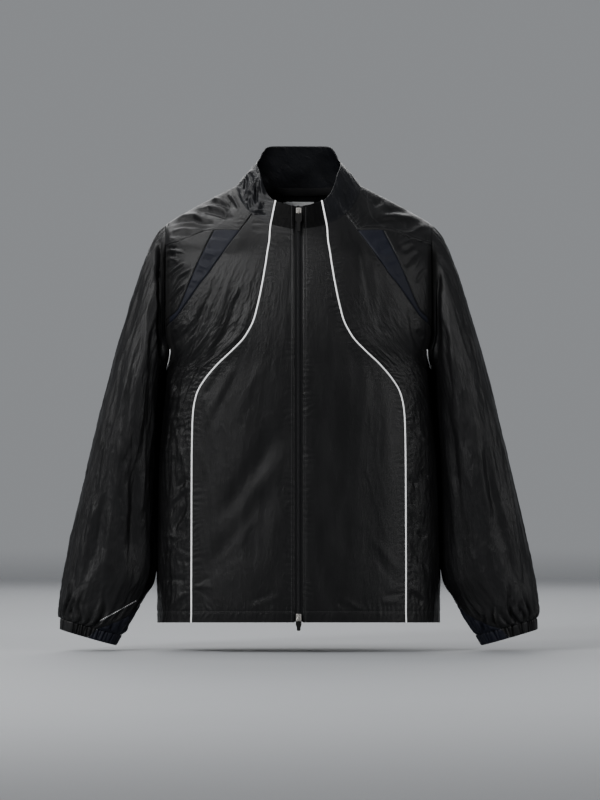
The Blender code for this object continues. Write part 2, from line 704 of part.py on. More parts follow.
def collar_turn_for_x(x, rise):
    return solve(lambda turn: collar_point(turn, rise).x - x, 0, pi / 2)


def collar_piping_turn(rise):
    x = FRONT_PIPING_NECK_X + (FRONT_PIPING_RIM_X - FRONT_PIPING_NECK_X) * rise
    return collar_turn_for_x(x, rise)


def collar_rises():
    """Rows of the collar, from just above the neck seam."""
    foot = NECK_GAP / COLLAR_HEIGHT
    return [foot + (1 - foot) * row / COLLAR_ROWS for row in range(COLLAR_ROWS + 1)]


def collar_item(turn, rise, side):
    point = mirrored(collar_point(turn, rise), side)
    return point, mirrored(collar_normal(turn, rise), side), FOLDED_WALL


def build_collar():
    for side, hand in ((1, "left"), (-1, "right")):
        cloth = Cloth()
        rows = []
        for rise in collar_rises():
            first = collar_turn_for_x(ZIP_HALF_OPENING, rise)
            last = collar_piping_turn(rise) - SEAM_GAP / 2 / RIM_HALF_WIDTH
            turns = [first + (last - first) * column / 3 for column in range(4)]
            rows.append([collar_item(turn, rise, side) for turn in turns])
        cloth.add_strip(rows)
        cloth.build(f"collar_front_{hand}", BLACK_CLOTH, flipped=side < 0)
    cloth = Cloth()
    rows = []
    for rise in collar_rises():
        first = collar_piping_turn(rise) + SEAM_GAP / 2 / RIM_HALF_WIDTH
        turns = [first + (pi - first) * column / 12 for column in range(13)]
        half = [collar_item(turn, rise, 1) for turn in turns]
        other = [collar_item(turn, rise, -1) for turn in turns]
        rows.append(half + list(reversed(other))[1:])
    cloth.add_strip(rows)
    cloth.build("collar_back", COLLAR_CLOTH)


# ---- trims that follow a line on the cloth ----

def sweep(name, finish, line, section):
    """A closed strip along a line of (point, outward, sideways), with a flat section."""
    rings = [[point + across * sideways + out * outward for across, out in section]
             for point, outward, sideways in line]
    count = len(section)
    points = [corner for ring in rings for corner in ring]
    faces = [list(range(count)), list(reversed(range(len(points) - count, len(points))))]
    for row in range(len(rings) - 1):
        for corner in range(count):
            following = (corner + 1) % count
            low = row * count
            faces.append([low + following, low + corner,
                          low + count + corner, low + count + following])
    mesh = bpy.data.meshes.new(name)
    mesh.from_pydata(points, [], faces)
    work = bmesh.new()
    work.from_mesh(mesh)
    bmesh.ops.recalc_face_normals(work, faces=work.faces)
    work.to_mesh(mesh)
    work.free()
    mesh.shade_smooth()
    mesh.set_sharp_from_angle(angle=radians(40))
    return add_object(name, mesh, finish)


def framed(points, normals):
    """A line's points with the outward and the sideways direction at each."""
    line = []
    last = len(points) - 1
    for number, (point, normal) in enumerate(zip(points, normals)):
        along = points[min(number + 1, last)] - points[max(number - 1, 0)]
        sideways = along.cross(normal).normalized()
        line.append((point, normal, sideways))
    return line


PIPING_SECTION = (
    (-PIPING_HALF_WIDTH, PIPING_LIFT),
    (PIPING_HALF_WIDTH, PIPING_LIFT),
    (0.6 * PIPING_HALF_WIDTH, PIPING_LIFT + PIPING_HEIGHT),
    (-0.6 * PIPING_HALF_WIDTH, PIPING_LIFT + PIPING_HEIGHT),
)


def build_piping():
    for side, hand in ((1, "left"), (-1, "right")):
        items = [torso_item(piping_turn(level), level, side) for level in LEVELS]
        for rise in collar_rises()[1:]:
            items.append(collar_item(collar_piping_turn(rise), rise, side))
        line = framed([item[0] for item in items], [item[1] for item in items])
        sweep(f"front_piping_{hand}", WHITE_PIPING, line, PIPING_SECTION)

        items = [torso_item(side_seam.at(level)[0], level, side,
                            ARM_PIPING_LIFT * fade(level, ARMPIT_LEVEL - 2.5, ARMPIT_LEVEL - 1.2))
                 for level in levels_between(0, ARMPIT_LEVEL - 0.4)]
        route = [place(point) for point in ARM_PIPING]
        behind = levels_between(0, ARMPIT_LEVEL - 0.4)[-1]
        for step in range(1, ARM_PIPING_STEPS):
            share = step / ARM_PIPING_STEPS
            level = behind + (route[0][0] - behind) * share
            turn = side_seam.at(behind)[0]
            turn += (route[0][1] - turn) * share
            items.append(torso_item(turn, level, side, ARM_PIPING_LIFT))
        for level, turn in route:
            items.append(torso_item(turn, level, side, ARM_PIPING_LIFT))
        line = framed([item[0] for item in items], [item[1] for item in items])
        sweep(f"side_piping_{hand}", WHITE_PIPING, line, PIPING_SECTION)


def front_line(side=1, x=0.0):
    """Points and directions down the front edge, hem to collar rim, on every other row."""
    items = []
    for level in LEVELS[:-1:2] + LEVELS[-1:]:
        turn = turn_for_x(x, level) if x else 0.0
        items.append(torso_item(turn, level, side))
    for rise in collar_rises()[1:]:
        turn = collar_turn_for_x(x, rise) if x else 0.0
        items.append(collar_item(turn, rise, side))
    return items


def build_zip():
    items = front_line()
    points = [item[0] for item in items]
    normals = [Vector((0, item[1].y, item[1].z)).normalized() for item in items]
    line = [(point, normal, Vector((1, 0, 0))) for point, normal in zip(points, normals)]
    chain = ((-CHAIN_HALF_WIDTH, CHAIN_BOTTOM), (CHAIN_HALF_WIDTH, CHAIN_BOTTOM),
             (CHAIN_HALF_WIDTH, CHAIN_TOP), (-CHAIN_HALF_WIDTH, CHAIN_TOP))
    sweep("zip_chain", ZIP_CHAIN, line, chain)
    for side, hand in ((1, "left"), (-1, "right")):
        cloth = Cloth()
        rows = []
        for edges in zip(front_line(side, TAPE_INNER), front_line(side, TAPE_OUTER)):
            rows.append([(point + normal * TAPE_TOP, normal, TAPE_WALL)
                         for point, normal, _ in edges])
        cloth.add_strip(rows)
        cloth.build(f"zip_tape_{hand}", ZIP_TAPE, flipped=side < 0)


def build_label():
    """A blank label inside the back of the neck."""
    cloth = Cloth()
    rows = []
    for row in range(4):
        z = LABEL_BOTTOM_Z + (LABEL_TOP_Z - LABEL_BOTTOM_Z) * row / 3
        level = solve(lambda ring: bare_torso_point(pi, ring).z - z, ARMPIT_LEVEL, NECK_LEVEL)
        items = []
        for column in range(7):
            x = LABEL_HALF_WIDTH * (1 - column / 3)
            turn = turn_for_x(abs(x), level, behind=True) if x else pi
            point, normal, wall = torso_item(turn, level, 1 if x >= 0 else -1)
            items.append((point - normal * (wall + LABEL_GAP), normal, LABEL_WALL))
        rows.append(items)
    cloth.add_strip(rows)
    cloth.build("neck_label", LABEL_GREY)


# ---- sleeves and cuffs ----

sleeve_table = SmoothTable(range(len(SLEEVE)), SLEEVE)


def oval_point(row, turn):
    """A point of a sleeve's oval, from the inner line (0) over the front (pi / 2)."""
    inner = Vector((row.in_x, row.shift, row.in_z))
    outer = Vector((row.out_x, row.shift, row.out_z))
    power = 2 / SLEEVE_ROUNDNESS
    across = -cos(turn)
    forward = sin(turn)
    across = abs(across) ** power * (1 if across > 0 else -1)
    forward = abs(forward) ** power * (1 if forward > 0 else -1)
    return (inner + outer) / 2 + (outer - inner) / 2 * across + Vector((0, -row.depth * forward, 0))


def armhole_loop():
    """The armhole's corners, armpit to armpit over the front and down the back, with turns."""
    levels = levels_between(ARMPIT_LEVEL, SHOULDER_LEVEL)
    loop = [torso_item(armhole_turn(level), level, 1) for level in levels]
    loop += [torso_item(armhole_turn(level, behind=True), level, 1)
             for level in reversed(levels[:-1])]
    middle = (SLEEVE[0].out_z + SLEEVE[0].in_z) / 2
    half = (SLEEVE[0].out_z - SLEEVE[0].in_z) / 2
    corners = []
    for number, (point, normal, _) in enumerate(loop):
        share = min(max((point.z - middle) / half, -1), 1)
        turn = solve(lambda angle: -cos(angle) - abs(share) ** (SLEEVE_ROUNDNESS / 2)
                     * (1 if share > 0 else -1), 0, pi)
        if number > len(levels) - 1:
            turn = 2 * pi - turn
        top = fade(point.z, SLEEVE[0].out_z - 0.03, SLEEVE[0].out_z)
        outwards = Vector((1, 0, -0.25)) * (ARMHOLE_GAP + SHOULDER_SPREAD * top)
        corners.append((turn, point + outwards))
    return corners


ARMHOLE_LOOP = armhole_loop()
SLEEVE_COLUMNS = len(ARMHOLE_LOOP) - 1
loop_offsets = SmoothTable(
    [turn for turn, _ in ARMHOLE_LOOP],
    [tuple(point - oval_point(SLEEVE[0], turn)) for turn, point in ARMHOLE_LOOP])


def sleeve_fold(turn, row):
    """Height of the long folds and ridges of the sleeve."""
    height = 0.0
    angle = (turn * 180 / pi) % 360
    for fold in SLEEVE_FOLDS:
        off = (angle - fold.turn + 180) % 360 - 180
        wander = 5 * sin(row * 0.9 + fold.turn)
        ends = fade(row, fold.first, fold.first + 2) * (1 - fade(row, fold.last - 2, fold.last))
        height += fold.height * ends * exp(-((off + wander) / fold.width) ** 2)
    return height


def bare_sleeve_point(turn, row):
    base = oval_point(SleeveRow(*sleeve_table.at(row)), turn % (2 * pi))
    offset = Vector(loop_offsets.at(turn % (2 * pi)))
    return base + offset * (1 - fade(row, 0, 4)) ** 2


def sleeve_normal(turn, row):
    around = bare_sleeve_point(turn + 0.01, row) - bare_sleeve_point(turn - 0.01, row)
    high = min(row + 0.05, len(SLEEVE) - 1)
    along = bare_sleeve_point(turn, high) - bare_sleeve_point(turn, max(row - 0.05, 0))
    return along.cross(around).normalized()


def in_plane(normal, row):
    """A direction turned square to the sleeve's length, for edges that meet the cuff."""
    across = Vector((row.out_x - row.in_x, 0, row.out_z - row.in_z)).normalized()
    return (across * normal.dot(across) + Vector((0, normal.y, 0))).normalized()


def gusset_half_turn(row):
    """Half the angle that the gusset takes out of the sleeve at a row."""
    last = len(SLEEVE) - 1
    share = min(max((row - GUSSET_APEX) / (last - GUSSET_APEX), 0), 1)
    return radians(GUSSET_AT_CUFF) * share


def gather(column, row):
    """Gathers above the cuff: neighbouring columns stand in and out by turns."""
    swell = fade(row, 13.6, 15.8) * (1 - 0.45 * fade(row, 16, 17))
    uneven = 0.75 + 0.25 * sin(column * 1.7)
    return SLEEVE_GATHER * swell * uneven * (0.5 if column % 2 else -0.5)


def sleeve_item(turn, row, side, height=0.0):
    normal = sleeve_normal(turn, row)
    if row >= len(SLEEVE) - 1:
        normal = in_plane(normal, SLEEVE[-1])
    edges = fade(row, 0.5, 3)
    point = bare_sleeve_point(turn, row) + normal * (sleeve_fold(turn, row) * edges + height)
    return mirrored(point, side), mirrored(normal, side), WALL


def sleeve_strip_row(row, columns, side):
    """One row round the sleeve: it starts on the armhole's corners and soon is even."""
    turns = [2 * pi * column / columns for column in range(columns + 1)]
    if columns == SLEEVE_COLUMNS:
        settle = fade(row, 0, 4)
        turns = [start + (turn - start) * settle
                 for (start, _), turn in zip(ARMHOLE_LOOP, turns)]
    cut = gusset_half_turn(row)
    if row > GUSSET_APEX:
        cut += GUSSET_ROOM
    turns = [cut + turn * (1 - cut / pi) for turn in turns]
    items = []
    for column, turn in enumerate(turns):
        height = gather(column, row)
        if column in (0, columns):
            height = 0.0
        items.append(sleeve_item(turn, row, side, height))
    return items


def gusset_sleeve_row(row, side):
    cut = gusset_half_turn(row) - GUSSET_ROOM
    turns = [cut * (1 - 2 * column / GUSSET_COLUMNS) for column in range(GUSSET_COLUMNS + 1)]
    items = []
    for column, turn in enumerate(turns):
        height = gather(column, row) if 0 < column < GUSSET_COLUMNS else 0.0
        items.append(sleeve_item(turn, row, side, height))
    return list(reversed(items))


def cuff_item(turn, share, side, column, last_column):
    """A point of the cuff band, 0 at its seam and 1 at its open end."""
    row = SleeveRow(*(a + (b - a) * share for a, b in zip(CUFF_TOP, CUFF_END)))
    point = oval_point(row, turn % (2 * pi))
    ahead = oval_point(row, (turn + 0.01) % (2 * pi)) - oval_point(row, (turn - 0.01) % (2 * pi))
    across = Vector((row.out_x - row.in_x, 0, row.out_z - row.in_z)).normalized()
    down = Vector((0, 1, 0)).cross(across)
    normal = in_plane(down.cross(ahead).normalized(), row)
    if normal.dot(point - oval_middle(row)) < 0:
        normal = -normal
    height = 0.0
    if 0 < column < last_column:
        uneven = 0.8 + 0.2 * sin(column * 2.3)
        height = CUFF_GATHER * uneven * (1 if column % 2 else -1) * (1 - 0.35 * abs(2 * share - 1))
    placed = point + normal * height
    return mirrored(placed, side), mirrored(normal, side), CUFF_WALL


def oval_middle(row):
    return Vector(((row.in_x + row.out_x) / 2, row.shift, (row.in_z + row.out_z) / 2))


def cuff_half_turn(share):
    return radians(GUSSET_AT_CUFF + (GUSSET_AT_END - GUSSET_AT_CUFF) * share)


def build_sleeves():
    for side, hand in ((1, "left"), (-1, "right")):
        cloth = Cloth()
        rows = [sleeve_strip_row(row, SLEEVE_COLUMNS, side) for row in COARSE_ROWS]
        rows += [sleeve_strip_row(row, 2 * SLEEVE_COLUMNS, side)
                 for row in FULL_ROWS + GUSSET_ROWS]
        cloth.add_strip(rows)
        cloth.build(f"sleeve_{hand}", BLACK_CLOTH, flipped=side > 0)

        cloth = Cloth()
        rows = []
        for share in CUFF_SHARES:
            start = cuff_half_turn(share) + GUSSET_ROOM
            rows.append([cuff_item(start + 2 * (pi - start) * column / CUFF_COLUMNS,
                                   share, side, column, CUFF_COLUMNS)
                         for column in range(CUFF_COLUMNS + 1)])
        cloth.add_strip(rows)
        cloth.build(f"cuff_{hand}", BLACK_CLOTH, flipped=side > 0)

        cloth = Cloth()
        rows = [gusset_sleeve_row(row, side) for row in GUSSET_ROWS]
        for share in CUFF_SHARES:
            half = cuff_half_turn(share) - GUSSET_ROOM
            rows.append([cuff_item(half * (2 * column / GUSSET_COLUMNS - 1), share, side,
                                   column, GUSSET_COLUMNS)
                         for column in range(GUSSET_COLUMNS + 1)])
        cloth.add_strip(rows)
        cloth.build(f"cuff_gusset_{hand}", NAVY_CLOTH, flipped=side > 0)


# ---- sliders and pulls ----

def box_object(name, finish, size, centre, bevel):
    mesh = bpy.data.meshes.new(name)
    work = bmesh.new()
    bmesh.ops.create_cube(work, size=1.0)
    bmesh.ops.scale(work, vec=size, verts=work.verts)
    bmesh.ops.translate(work, vec=centre, verts=work.verts)
    bmesh.ops.bevel(work, geom=list(work.edges), offset=bevel, segments=1, affect="EDGES")
    work.to_mesh(mesh)
    work.free()
    mesh.shade_smooth()
    mesh.set_sharp_from_angle(angle=radians(35))
    return add_object(name, mesh, finish)


def cutter(obj):
    """Take an object out of the jacket and keep it only as a tool."""
    jacket_collection.objects.unlink(obj)
    cutter_collection.objects.link(obj)
    obj.hide_render = True
    obj.display_type = "WIRE"
    return obj


def add_boolean(target, tool, operation):
    modifier = target.modifiers.new(operation.title(), "BOOLEAN")
    modifier.operation = operation
    modifier.object = tool
    modifier.solver = "EXACT"


def eye_cutter(name):
    """The round tool that bores the eye through the bridge."""
    mesh = bpy.data.meshes.new(name)
    work = bmesh.new()
    place_eye = Matrix.Translation((0, -EYE_OUT, 0)) @ Matrix.Rotation(pi / 2, 4, "Y")
    bmesh.ops.create_cone(work, cap_ends=True, segments=16, radius1=EYE_RADIUS,
                          radius2=EYE_RADIUS, depth=2 * SLIDER_WIDTH, matrix=place_eye)
    work.to_mesh(mesh)
    work.free()
    return cutter(add_object(name, mesh, ZIP_METAL))


def wire_loop(name, radius):
    """The rounded wire loop of a pull, hanging from its top bar on the joint's axis."""
    corner = LOOP_CORNER
    half = LOOP_HALF_WIDTH
    low = -LOOP_LENGTH
    outline = [
        (half - corner, 0.0), (half, -corner), (half, low + corner), (half - corner, low),
        (corner - half, low), (-half, low + corner), (-half, -corner), (corner - half, 0.0),
    ]
    curve = bpy.data.curves.new(name, "CURVE")
    curve.dimensions = "3D"
    curve.bevel_depth = radius
    curve.bevel_resolution = 2
    spline = curve.splines.new("POLY")
    spline.points.add(len(outline) - 1)
    for point, (x, z) in zip(spline.points, outline):
        point.co = (x, 0, z, 1)
    spline.use_cyclic_u = True
    source = bpy.data.objects.new(name, curve)
    jacket_collection.objects.link(source)
    depsgraph = bpy.context.evaluated_depsgraph_get()
    mesh = bpy.data.meshes.new_from_object(source.evaluated_get(depsgraph))
    work = bmesh.new()
    work.from_mesh(mesh)
    bmesh.ops.remove_doubles(work, verts=work.verts, dist=0.00001)
    bmesh.ops.recalc_face_normals(work, faces=work.faces)
    work.to_mesh(mesh)
    work.free()
    bpy.data.objects.remove(source)
    mesh.materials.clear()
    mesh.shade_smooth()
    return add_object(name, mesh, ZIP_METAL)


def tab_object(name, slider):
    """The moulded tab: wide where it holds the loop, then narrow to a rounded end."""
    top = -LOOP_LENGTH + TAB_OVERLAP
    wide = slider.wide / 2
    narrow = slider.narrow / 2
    shoulder = top - slider.wide_length
    foot = shoulder - slider.narrow_length
    right = [       # its right half, from the top down
        (wide - 0.0012, top), (wide, top - 0.0012), (wide, shoulder + 0.001),
        (wide - 0.0008, shoulder - 0.0008), (narrow, shoulder - 0.0035),
        (narrow, foot + 0.0014), (narrow - 0.0011, foot),
    ]
    outline = right + [(-x, z) for x, z in reversed(right)]
    mesh = bpy.data.meshes.new(name)
    work = bmesh.new()
    corners = [work.verts.new((x, -TAB_THICKNESS / 2, z)) for x, z in outline]
    face = work.faces.new(corners)
    grown = bmesh.ops.extrude_face_region(work, geom=[face])
    moved = [item for item in grown["geom"] if isinstance(item, bmesh.types.BMVert)]
    bmesh.ops.translate(work, vec=(0, TAB_THICKNESS, 0), verts=moved)
    bmesh.ops.recalc_face_normals(work, faces=work.faces)
    work.to_mesh(mesh)
    work.free()
    mesh.shade_smooth()
    mesh.set_sharp_from_angle(angle=radians(35))
    return add_object(name, mesh, PULL_RUBBER)


def front_place(z):
    """The middle of the front at a height: its point and outward direction."""
    if z < TORSO[-1].front_z:
        level = solve(lambda ring: bare_torso_point(0, ring).z - z, 0, NECK_LEVEL)
        return bare_torso_point(0, level), torso_normal(0, level)
    rise = solve(lambda share: collar_point(0, share).z - z, 0, 1)
    return collar_point(0, rise), collar_normal(0, rise)


def build_slider(slider):
    """A slider with its bridge, and the loop and tab that hang from its eye."""
    body = box_object(f"slider_{slider.name}", ZIP_METAL,
                      (SLIDER_WIDTH, SLIDER_THICKNESS, SLIDER_LENGTH),
                      (0, -SLIDER_THICKNESS / 2, 0), 0.0007)
    tall = BRIDGE_HEIGHT + BRIDGE_ROOT
    bridge = cutter(box_object(f"bridge_{slider.name}", ZIP_METAL,
                               (BRIDGE_WIDTH, tall, BRIDGE_LENGTH),
                               (0, BRIDGE_ROOT - SLIDER_THICKNESS - tall / 2, 0), 0.0005))
    eye = eye_cutter(f"eye_{slider.name}")
    add_boolean(body, bridge, "UNION")
    add_boolean(body, eye, "DIFFERENCE")

    loop = wire_loop(f"pull_loop_{slider.name}", WIRE_RADIUS)
    tab = tab_object(f"pull_tab_{slider.name}", slider)
    groove = cutter(wire_loop(f"groove_{slider.name}", WIRE_RADIUS + SEAM_GAP))
    add_boolean(tab, groove, "DIFFERENCE")

    point, outward = front_place(slider.z)
    lean = Vector((0, -1, 0)).rotation_difference(outward).to_matrix().to_4x4()
    seat = point + outward * (CHAIN_TOP + SEAM_GAP)
    for piece in (body, bridge, eye):
        piece.matrix_world = Matrix.Translation(seat) @ lean
    pivot = seat + outward * EYE_OUT
    hang = lean if outward.z > 0 else Matrix.Identity(4)    # on sloping cloth, or plumb
    for piece in (loop, tab, groove):
        piece.matrix_world = Matrix.Translation(pivot) @ hang


# ---- the whole jacket ----

for old in list(bpy.data.objects):
    bpy.data.objects.remove(old)

jacket_collection = bpy.data.collections.new("track_jacket")
cutter_collection = bpy.data.collections.new("cutters")
bpy.context.scene.collection.children.link(jacket_collection)
bpy.context.scene.collection.children.link(cutter_collection)

build_body()
build_collar()
build_piping()
build_zip()
build_label()
build_sleeves()
for slider_sizes in SLIDERS:
    build_slider(slider_sizes)
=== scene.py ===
# Track jacket: cloth, trims, stitching, light and camera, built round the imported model.

import math

import bpy
import numpy as np
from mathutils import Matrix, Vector
from mathutils.bvhtree import BVHTree


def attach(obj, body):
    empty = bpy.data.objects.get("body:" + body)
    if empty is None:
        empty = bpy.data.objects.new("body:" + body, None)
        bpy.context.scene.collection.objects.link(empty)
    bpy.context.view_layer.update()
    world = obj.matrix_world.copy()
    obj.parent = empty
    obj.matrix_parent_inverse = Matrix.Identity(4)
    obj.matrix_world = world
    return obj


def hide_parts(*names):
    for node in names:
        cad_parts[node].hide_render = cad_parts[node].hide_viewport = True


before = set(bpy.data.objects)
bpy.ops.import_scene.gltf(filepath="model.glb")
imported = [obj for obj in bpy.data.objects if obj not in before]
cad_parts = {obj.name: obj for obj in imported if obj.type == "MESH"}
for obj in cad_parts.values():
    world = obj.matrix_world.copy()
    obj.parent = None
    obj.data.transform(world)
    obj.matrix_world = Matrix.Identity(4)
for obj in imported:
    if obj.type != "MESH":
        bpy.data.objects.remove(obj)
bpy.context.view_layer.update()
print("frame loaded")

pi = math.pi
mm = 0.001


# a curve through the columns of a table, with no overshoot between its keys
def smoothTable(keys, rows):
    keys = np.array(keys, float)
    rows = np.array(rows, float)
    if rows.ndim == 1:
        rows = rows[:, None]
    steps = np.diff(keys)[:, None]
    slope = np.diff(rows, axis=0) / steps
    bends = np.zeros_like(rows)
    bends[0] = slope[0]
    bends[-1] = slope[-1]
    left, right = slope[:-1], slope[1:]
    same = left * right > 0
    heavy = 2 * steps[1:] + steps[:-1]
    light = steps[1:] + 2 * steps[:-1]
    share = heavy / np.where(same, left, 1) + light / np.where(same, right, 1)
    bends[1:-1] = np.where(same, (heavy + light) / np.where(same, share, 1), 0)

    def at(value):
        value = np.clip(np.asarray(value, float), keys[0], keys[-1])
        spot = np.clip(np.searchsorted(keys, value, side="right") - 1, 0, len(keys) - 2)
        step = steps[spot, 0]
        t = (value - keys[spot]) / step
        t = t[..., None]
        step = step[..., None]
        return ((1 + 2 * t) * (1 - t) ** 2 * rows[spot] + t * (1 - t) ** 2 * step * bends[spot]
                + t * t * (3 - 2 * t) * rows[spot + 1] + t * t * (t - 1) * step * bends[spot + 1])

    return at


def fade(value, low, high):
    t = np.clip((value - low) / (high - low), 0, 1)
    return t * t * (3 - 2 * t)


# where a rising function crosses zero, for a whole array at once
def solve(function, low, high, like):
    low = np.full(np.shape(like), float(low))
    high = np.full(np.shape(like), float(high))
    for _ in range(34):
        middle = (low + high) / 2
        under = function(middle) < 0
        low = np.where(under, middle, low)
        high = np.where(under, high, middle)
    return (low + high) / 2


def length(vectors):
    return np.sqrt((vectors ** 2).sum(axis=-1))


def unit(vectors):
    return vectors / np.maximum(length(vectors), 1e-12)[..., None]


# how far along a line of points each one lies
def runAlong(points):
    return np.concatenate([[0], np.cumsum(length(np.diff(points, axis=0)))])


body = {
    # hem to neck: half width and height at the side, depth and height in front, the same
    # behind, and squareness
    "rings": (
        (0.2256, -0.6950, 0.1250, -0.6915, 0.1215, -0.6965, 2.5),
        (0.2258, -0.6780, 0.1262, -0.6745, 0.1222, -0.6795, 2.5),
        (0.2264, -0.6000, 0.1280, -0.5970, 0.1210, -0.6010, 2.5),
        (0.2262, -0.5200, 0.1290, -0.5180, 0.1190, -0.5210, 2.5),
        (0.2242, -0.4400, 0.1302, -0.4390, 0.1180, -0.4410, 2.5),
        (0.2190, -0.3700, 0.1320, -0.3700, 0.1190, -0.3700, 2.5),
        (0.2140, -0.3200, 0.1338, -0.3210, 0.1208, -0.3200, 2.5),
        (0.2125, -0.2850, 0.1345, -0.2880, 0.1222, -0.2850, 2.5),
        (0.2190, -0.2500, 0.1342, -0.2580, 0.1235, -0.2490, 2.6),
        (0.2255, -0.2000, 0.1325, -0.2200, 0.1240, -0.1970, 2.7),
        (0.2272, -0.1500, 0.1292, -0.1860, 0.1225, -0.1480, 2.7),
        (0.2258, -0.1050, 0.1245, -0.1540, 0.1180, -0.1040, 2.6),
        (0.2195, -0.0750, 0.1195, -0.1290, 0.1110, -0.0730, 2.5),
        (0.2125, -0.0600, 0.1162, -0.1150, 0.1060, -0.0580, 2.45),
        (0.1800, -0.0395, 0.1115, -0.0990, 0.0965, -0.0390, 2.3),
        (0.1400, -0.0175, 0.1052, -0.0830, 0.0855, -0.0205, 2.2),
        (0.1000, 0.0030, 0.0990, -0.0670, 0.0730, -0.0040, 2.1),
    ),
    "shoulderRoll": 0.12,
    "armholeX": 0.2125,
    "scoopDepth": 0.0065,
    "scoopZ": -0.262,
    "scoopHeight": 0.017,
    "zipEdge": 0.0065,
    "seamGap": 0.0003,
    # big folds: ends, half width and depth
    "frontFolds": (
        (-0.020, -0.372, -0.128, -0.540, 0.017, 0.0055),
        (-0.030, -0.455, -0.160, -0.625, 0.016, 0.0045),
        (-0.052, -0.480, -0.070, -0.610, 0.018, 0.0030),
        (-0.145, -0.150, -0.165, -0.330, 0.015, 0.0028),
        (-0.090, -0.165, -0.112, -0.245, 0.014, 0.0022),
        (0.060, -0.300, 0.075, -0.600, 0.022, 0.0030),
        (0.120, -0.340, 0.112, -0.640, 0.020, 0.0028),
        (0.110, -0.130, 0.128, -0.250, 0.016, 0.0026),
        (-0.190, -0.430, -0.180, -0.640, 0.014, 0.0030),
        (0.192, -0.420, 0.184, -0.640, 0.014, 0.0030),
    ),
    "backFolds": (
        (-0.150, -0.130, -0.070, -0.300, 0.018, 0.0045),
        (0.152, -0.135, 0.080, -0.290, 0.018, 0.0045),
        (-0.060, -0.330, -0.115, -0.600, 0.020, 0.0050),
        (0.020, -0.300, 0.006, -0.620, 0.022, 0.0045),
        (0.085, -0.360, 0.130, -0.620, 0.018, 0.0040),
        (-0.020, -0.100, 0.024, -0.210, 0.018, 0.0025),
    ),
}
armpit, shoulderPoint, neck = 7, 13, 16
ringTable = smoothTable(range(17), body["rings"])


def bodyPoint(turn, level):
    turn, level = np.broadcast_arrays(np.asarray(turn, float), np.asarray(level, float))
    sideX, sideZ, frontY, frontZ, backY, backZ, square = np.moveaxis(ringTable(level), -1, 0)
    ahead = np.cos(turn) > 0
    depth = np.where(ahead, frontY, backY)
    endZ = np.where(ahead, frontZ, backZ)
    reach = (np.abs(np.sin(turn) / sideX) ** square
             + np.abs(np.cos(turn) / depth) ** square) ** (-1 / square)
    y = -reach * np.cos(turn)
    roll = body["shoulderRoll"]
    lean = (np.hypot(y / depth, roll) - roll) / (math.hypot(1, roll) - roll)
    return np.stack([reach * np.sin(turn), y, sideZ + (endZ - sideZ) * lean], axis=-1)


def bodyNormal(turn, level):
    around = bodyPoint(turn + 0.002, level) - bodyPoint(turn - 0.002, level)
    upward = (bodyPoint(turn, np.minimum(level + 0.02, neck))
              - bodyPoint(turn, np.maximum(level - 0.02, 0)))
    return unit(np.cross(around, upward))


def bigFolds(points):
    total = np.zeros(points.shape[:-1])
    for folds, here in ((body["frontFolds"], points[..., 1] < 0),
                        (body["backFolds"], points[..., 1] >= 0)):
        part = np.zeros_like(total)
        for x0, z0, x1, z1, reach, depth in folds:
            run = math.hypot(x1 - x0, z1 - z0)
            offX, offZ = points[..., 0] - x0, points[..., 2] - z0
            along = (offX * (x1 - x0) + offZ * (z1 - z0)) / run
            across = (offX * (z1 - z0) - offZ * (x1 - x0)) / run
            ends = fade(along, -0.01, 0.3 * run) * (1 - fade(along, 0.7 * run, run + 0.01))
            part += depth * ends * np.exp(-(across / reach) ** 2)
        total += np.where(here, part, 0)
    return 0.5 * total


def turnForX(x, level, behind=False):
    x, level = np.broadcast_arrays(np.asarray(x, float), np.asarray(level, float))
    turn = solve(lambda angle: bodyPoint(angle, level)[..., 0] - x, 0, pi / 2, level)
    if behind:
        turn = solve(lambda angle: x - bodyPoint(angle, level)[..., 0], pi / 2, pi, level)
    return np.where(x >= ringTable(level)[..., 0], pi / 2, turn)


# level and turn of points given by their distance from the middle and their height
def placeOnBody(points, behind=False):
    x, z = np.array(points, float).T
    level = solve(lambda ring: bodyPoint(turnForX(x, ring, behind), ring)[..., 2] - z, 0, neck, x)
    return level, turnForX(x, level, behind)


# a seam as a table from level to turn, and the levels of its two ends
def seamLine(points, behind=False, neckX=None, hemX=None, top=None):
    levels, turns = placeOnBody(points, behind)
    levels, turns = list(levels), list(turns)
    if neckX is not None:
        levels.append(neck)
        turns.append(float(turnForX(neckX, neck, behind)))
    if hemX is not None:
        levels.append(0)
        turns.append(float(turnForX(hemX, 0, behind)))
    if top is not None:
        levels.append(top[0])
        turns.append(top[1])
    order = np.argsort(levels)
    levels, turns = np.array(levels)[order], np.array(turns)[order]
    table = smoothTable(levels, turns)
    return (lambda level: table(level)[..., 0]), levels[0], levels[-1]


def armholeTurn(level, behind=False):
    level = np.asarray(level, float)
    x = np.full(level.shape, body["armholeX"])
    if not behind:
        z = bodyPoint(turnForX(x, level), level)[..., 2]
        x = x - body["scoopDepth"] * np.exp(-((z - body["scoopZ"]) / body["scoopHeight"]) ** 2)
    inside = (level > armpit) & (level < shoulderPoint)
    return np.where(inside, turnForX(x, level, behind), pi / 2)


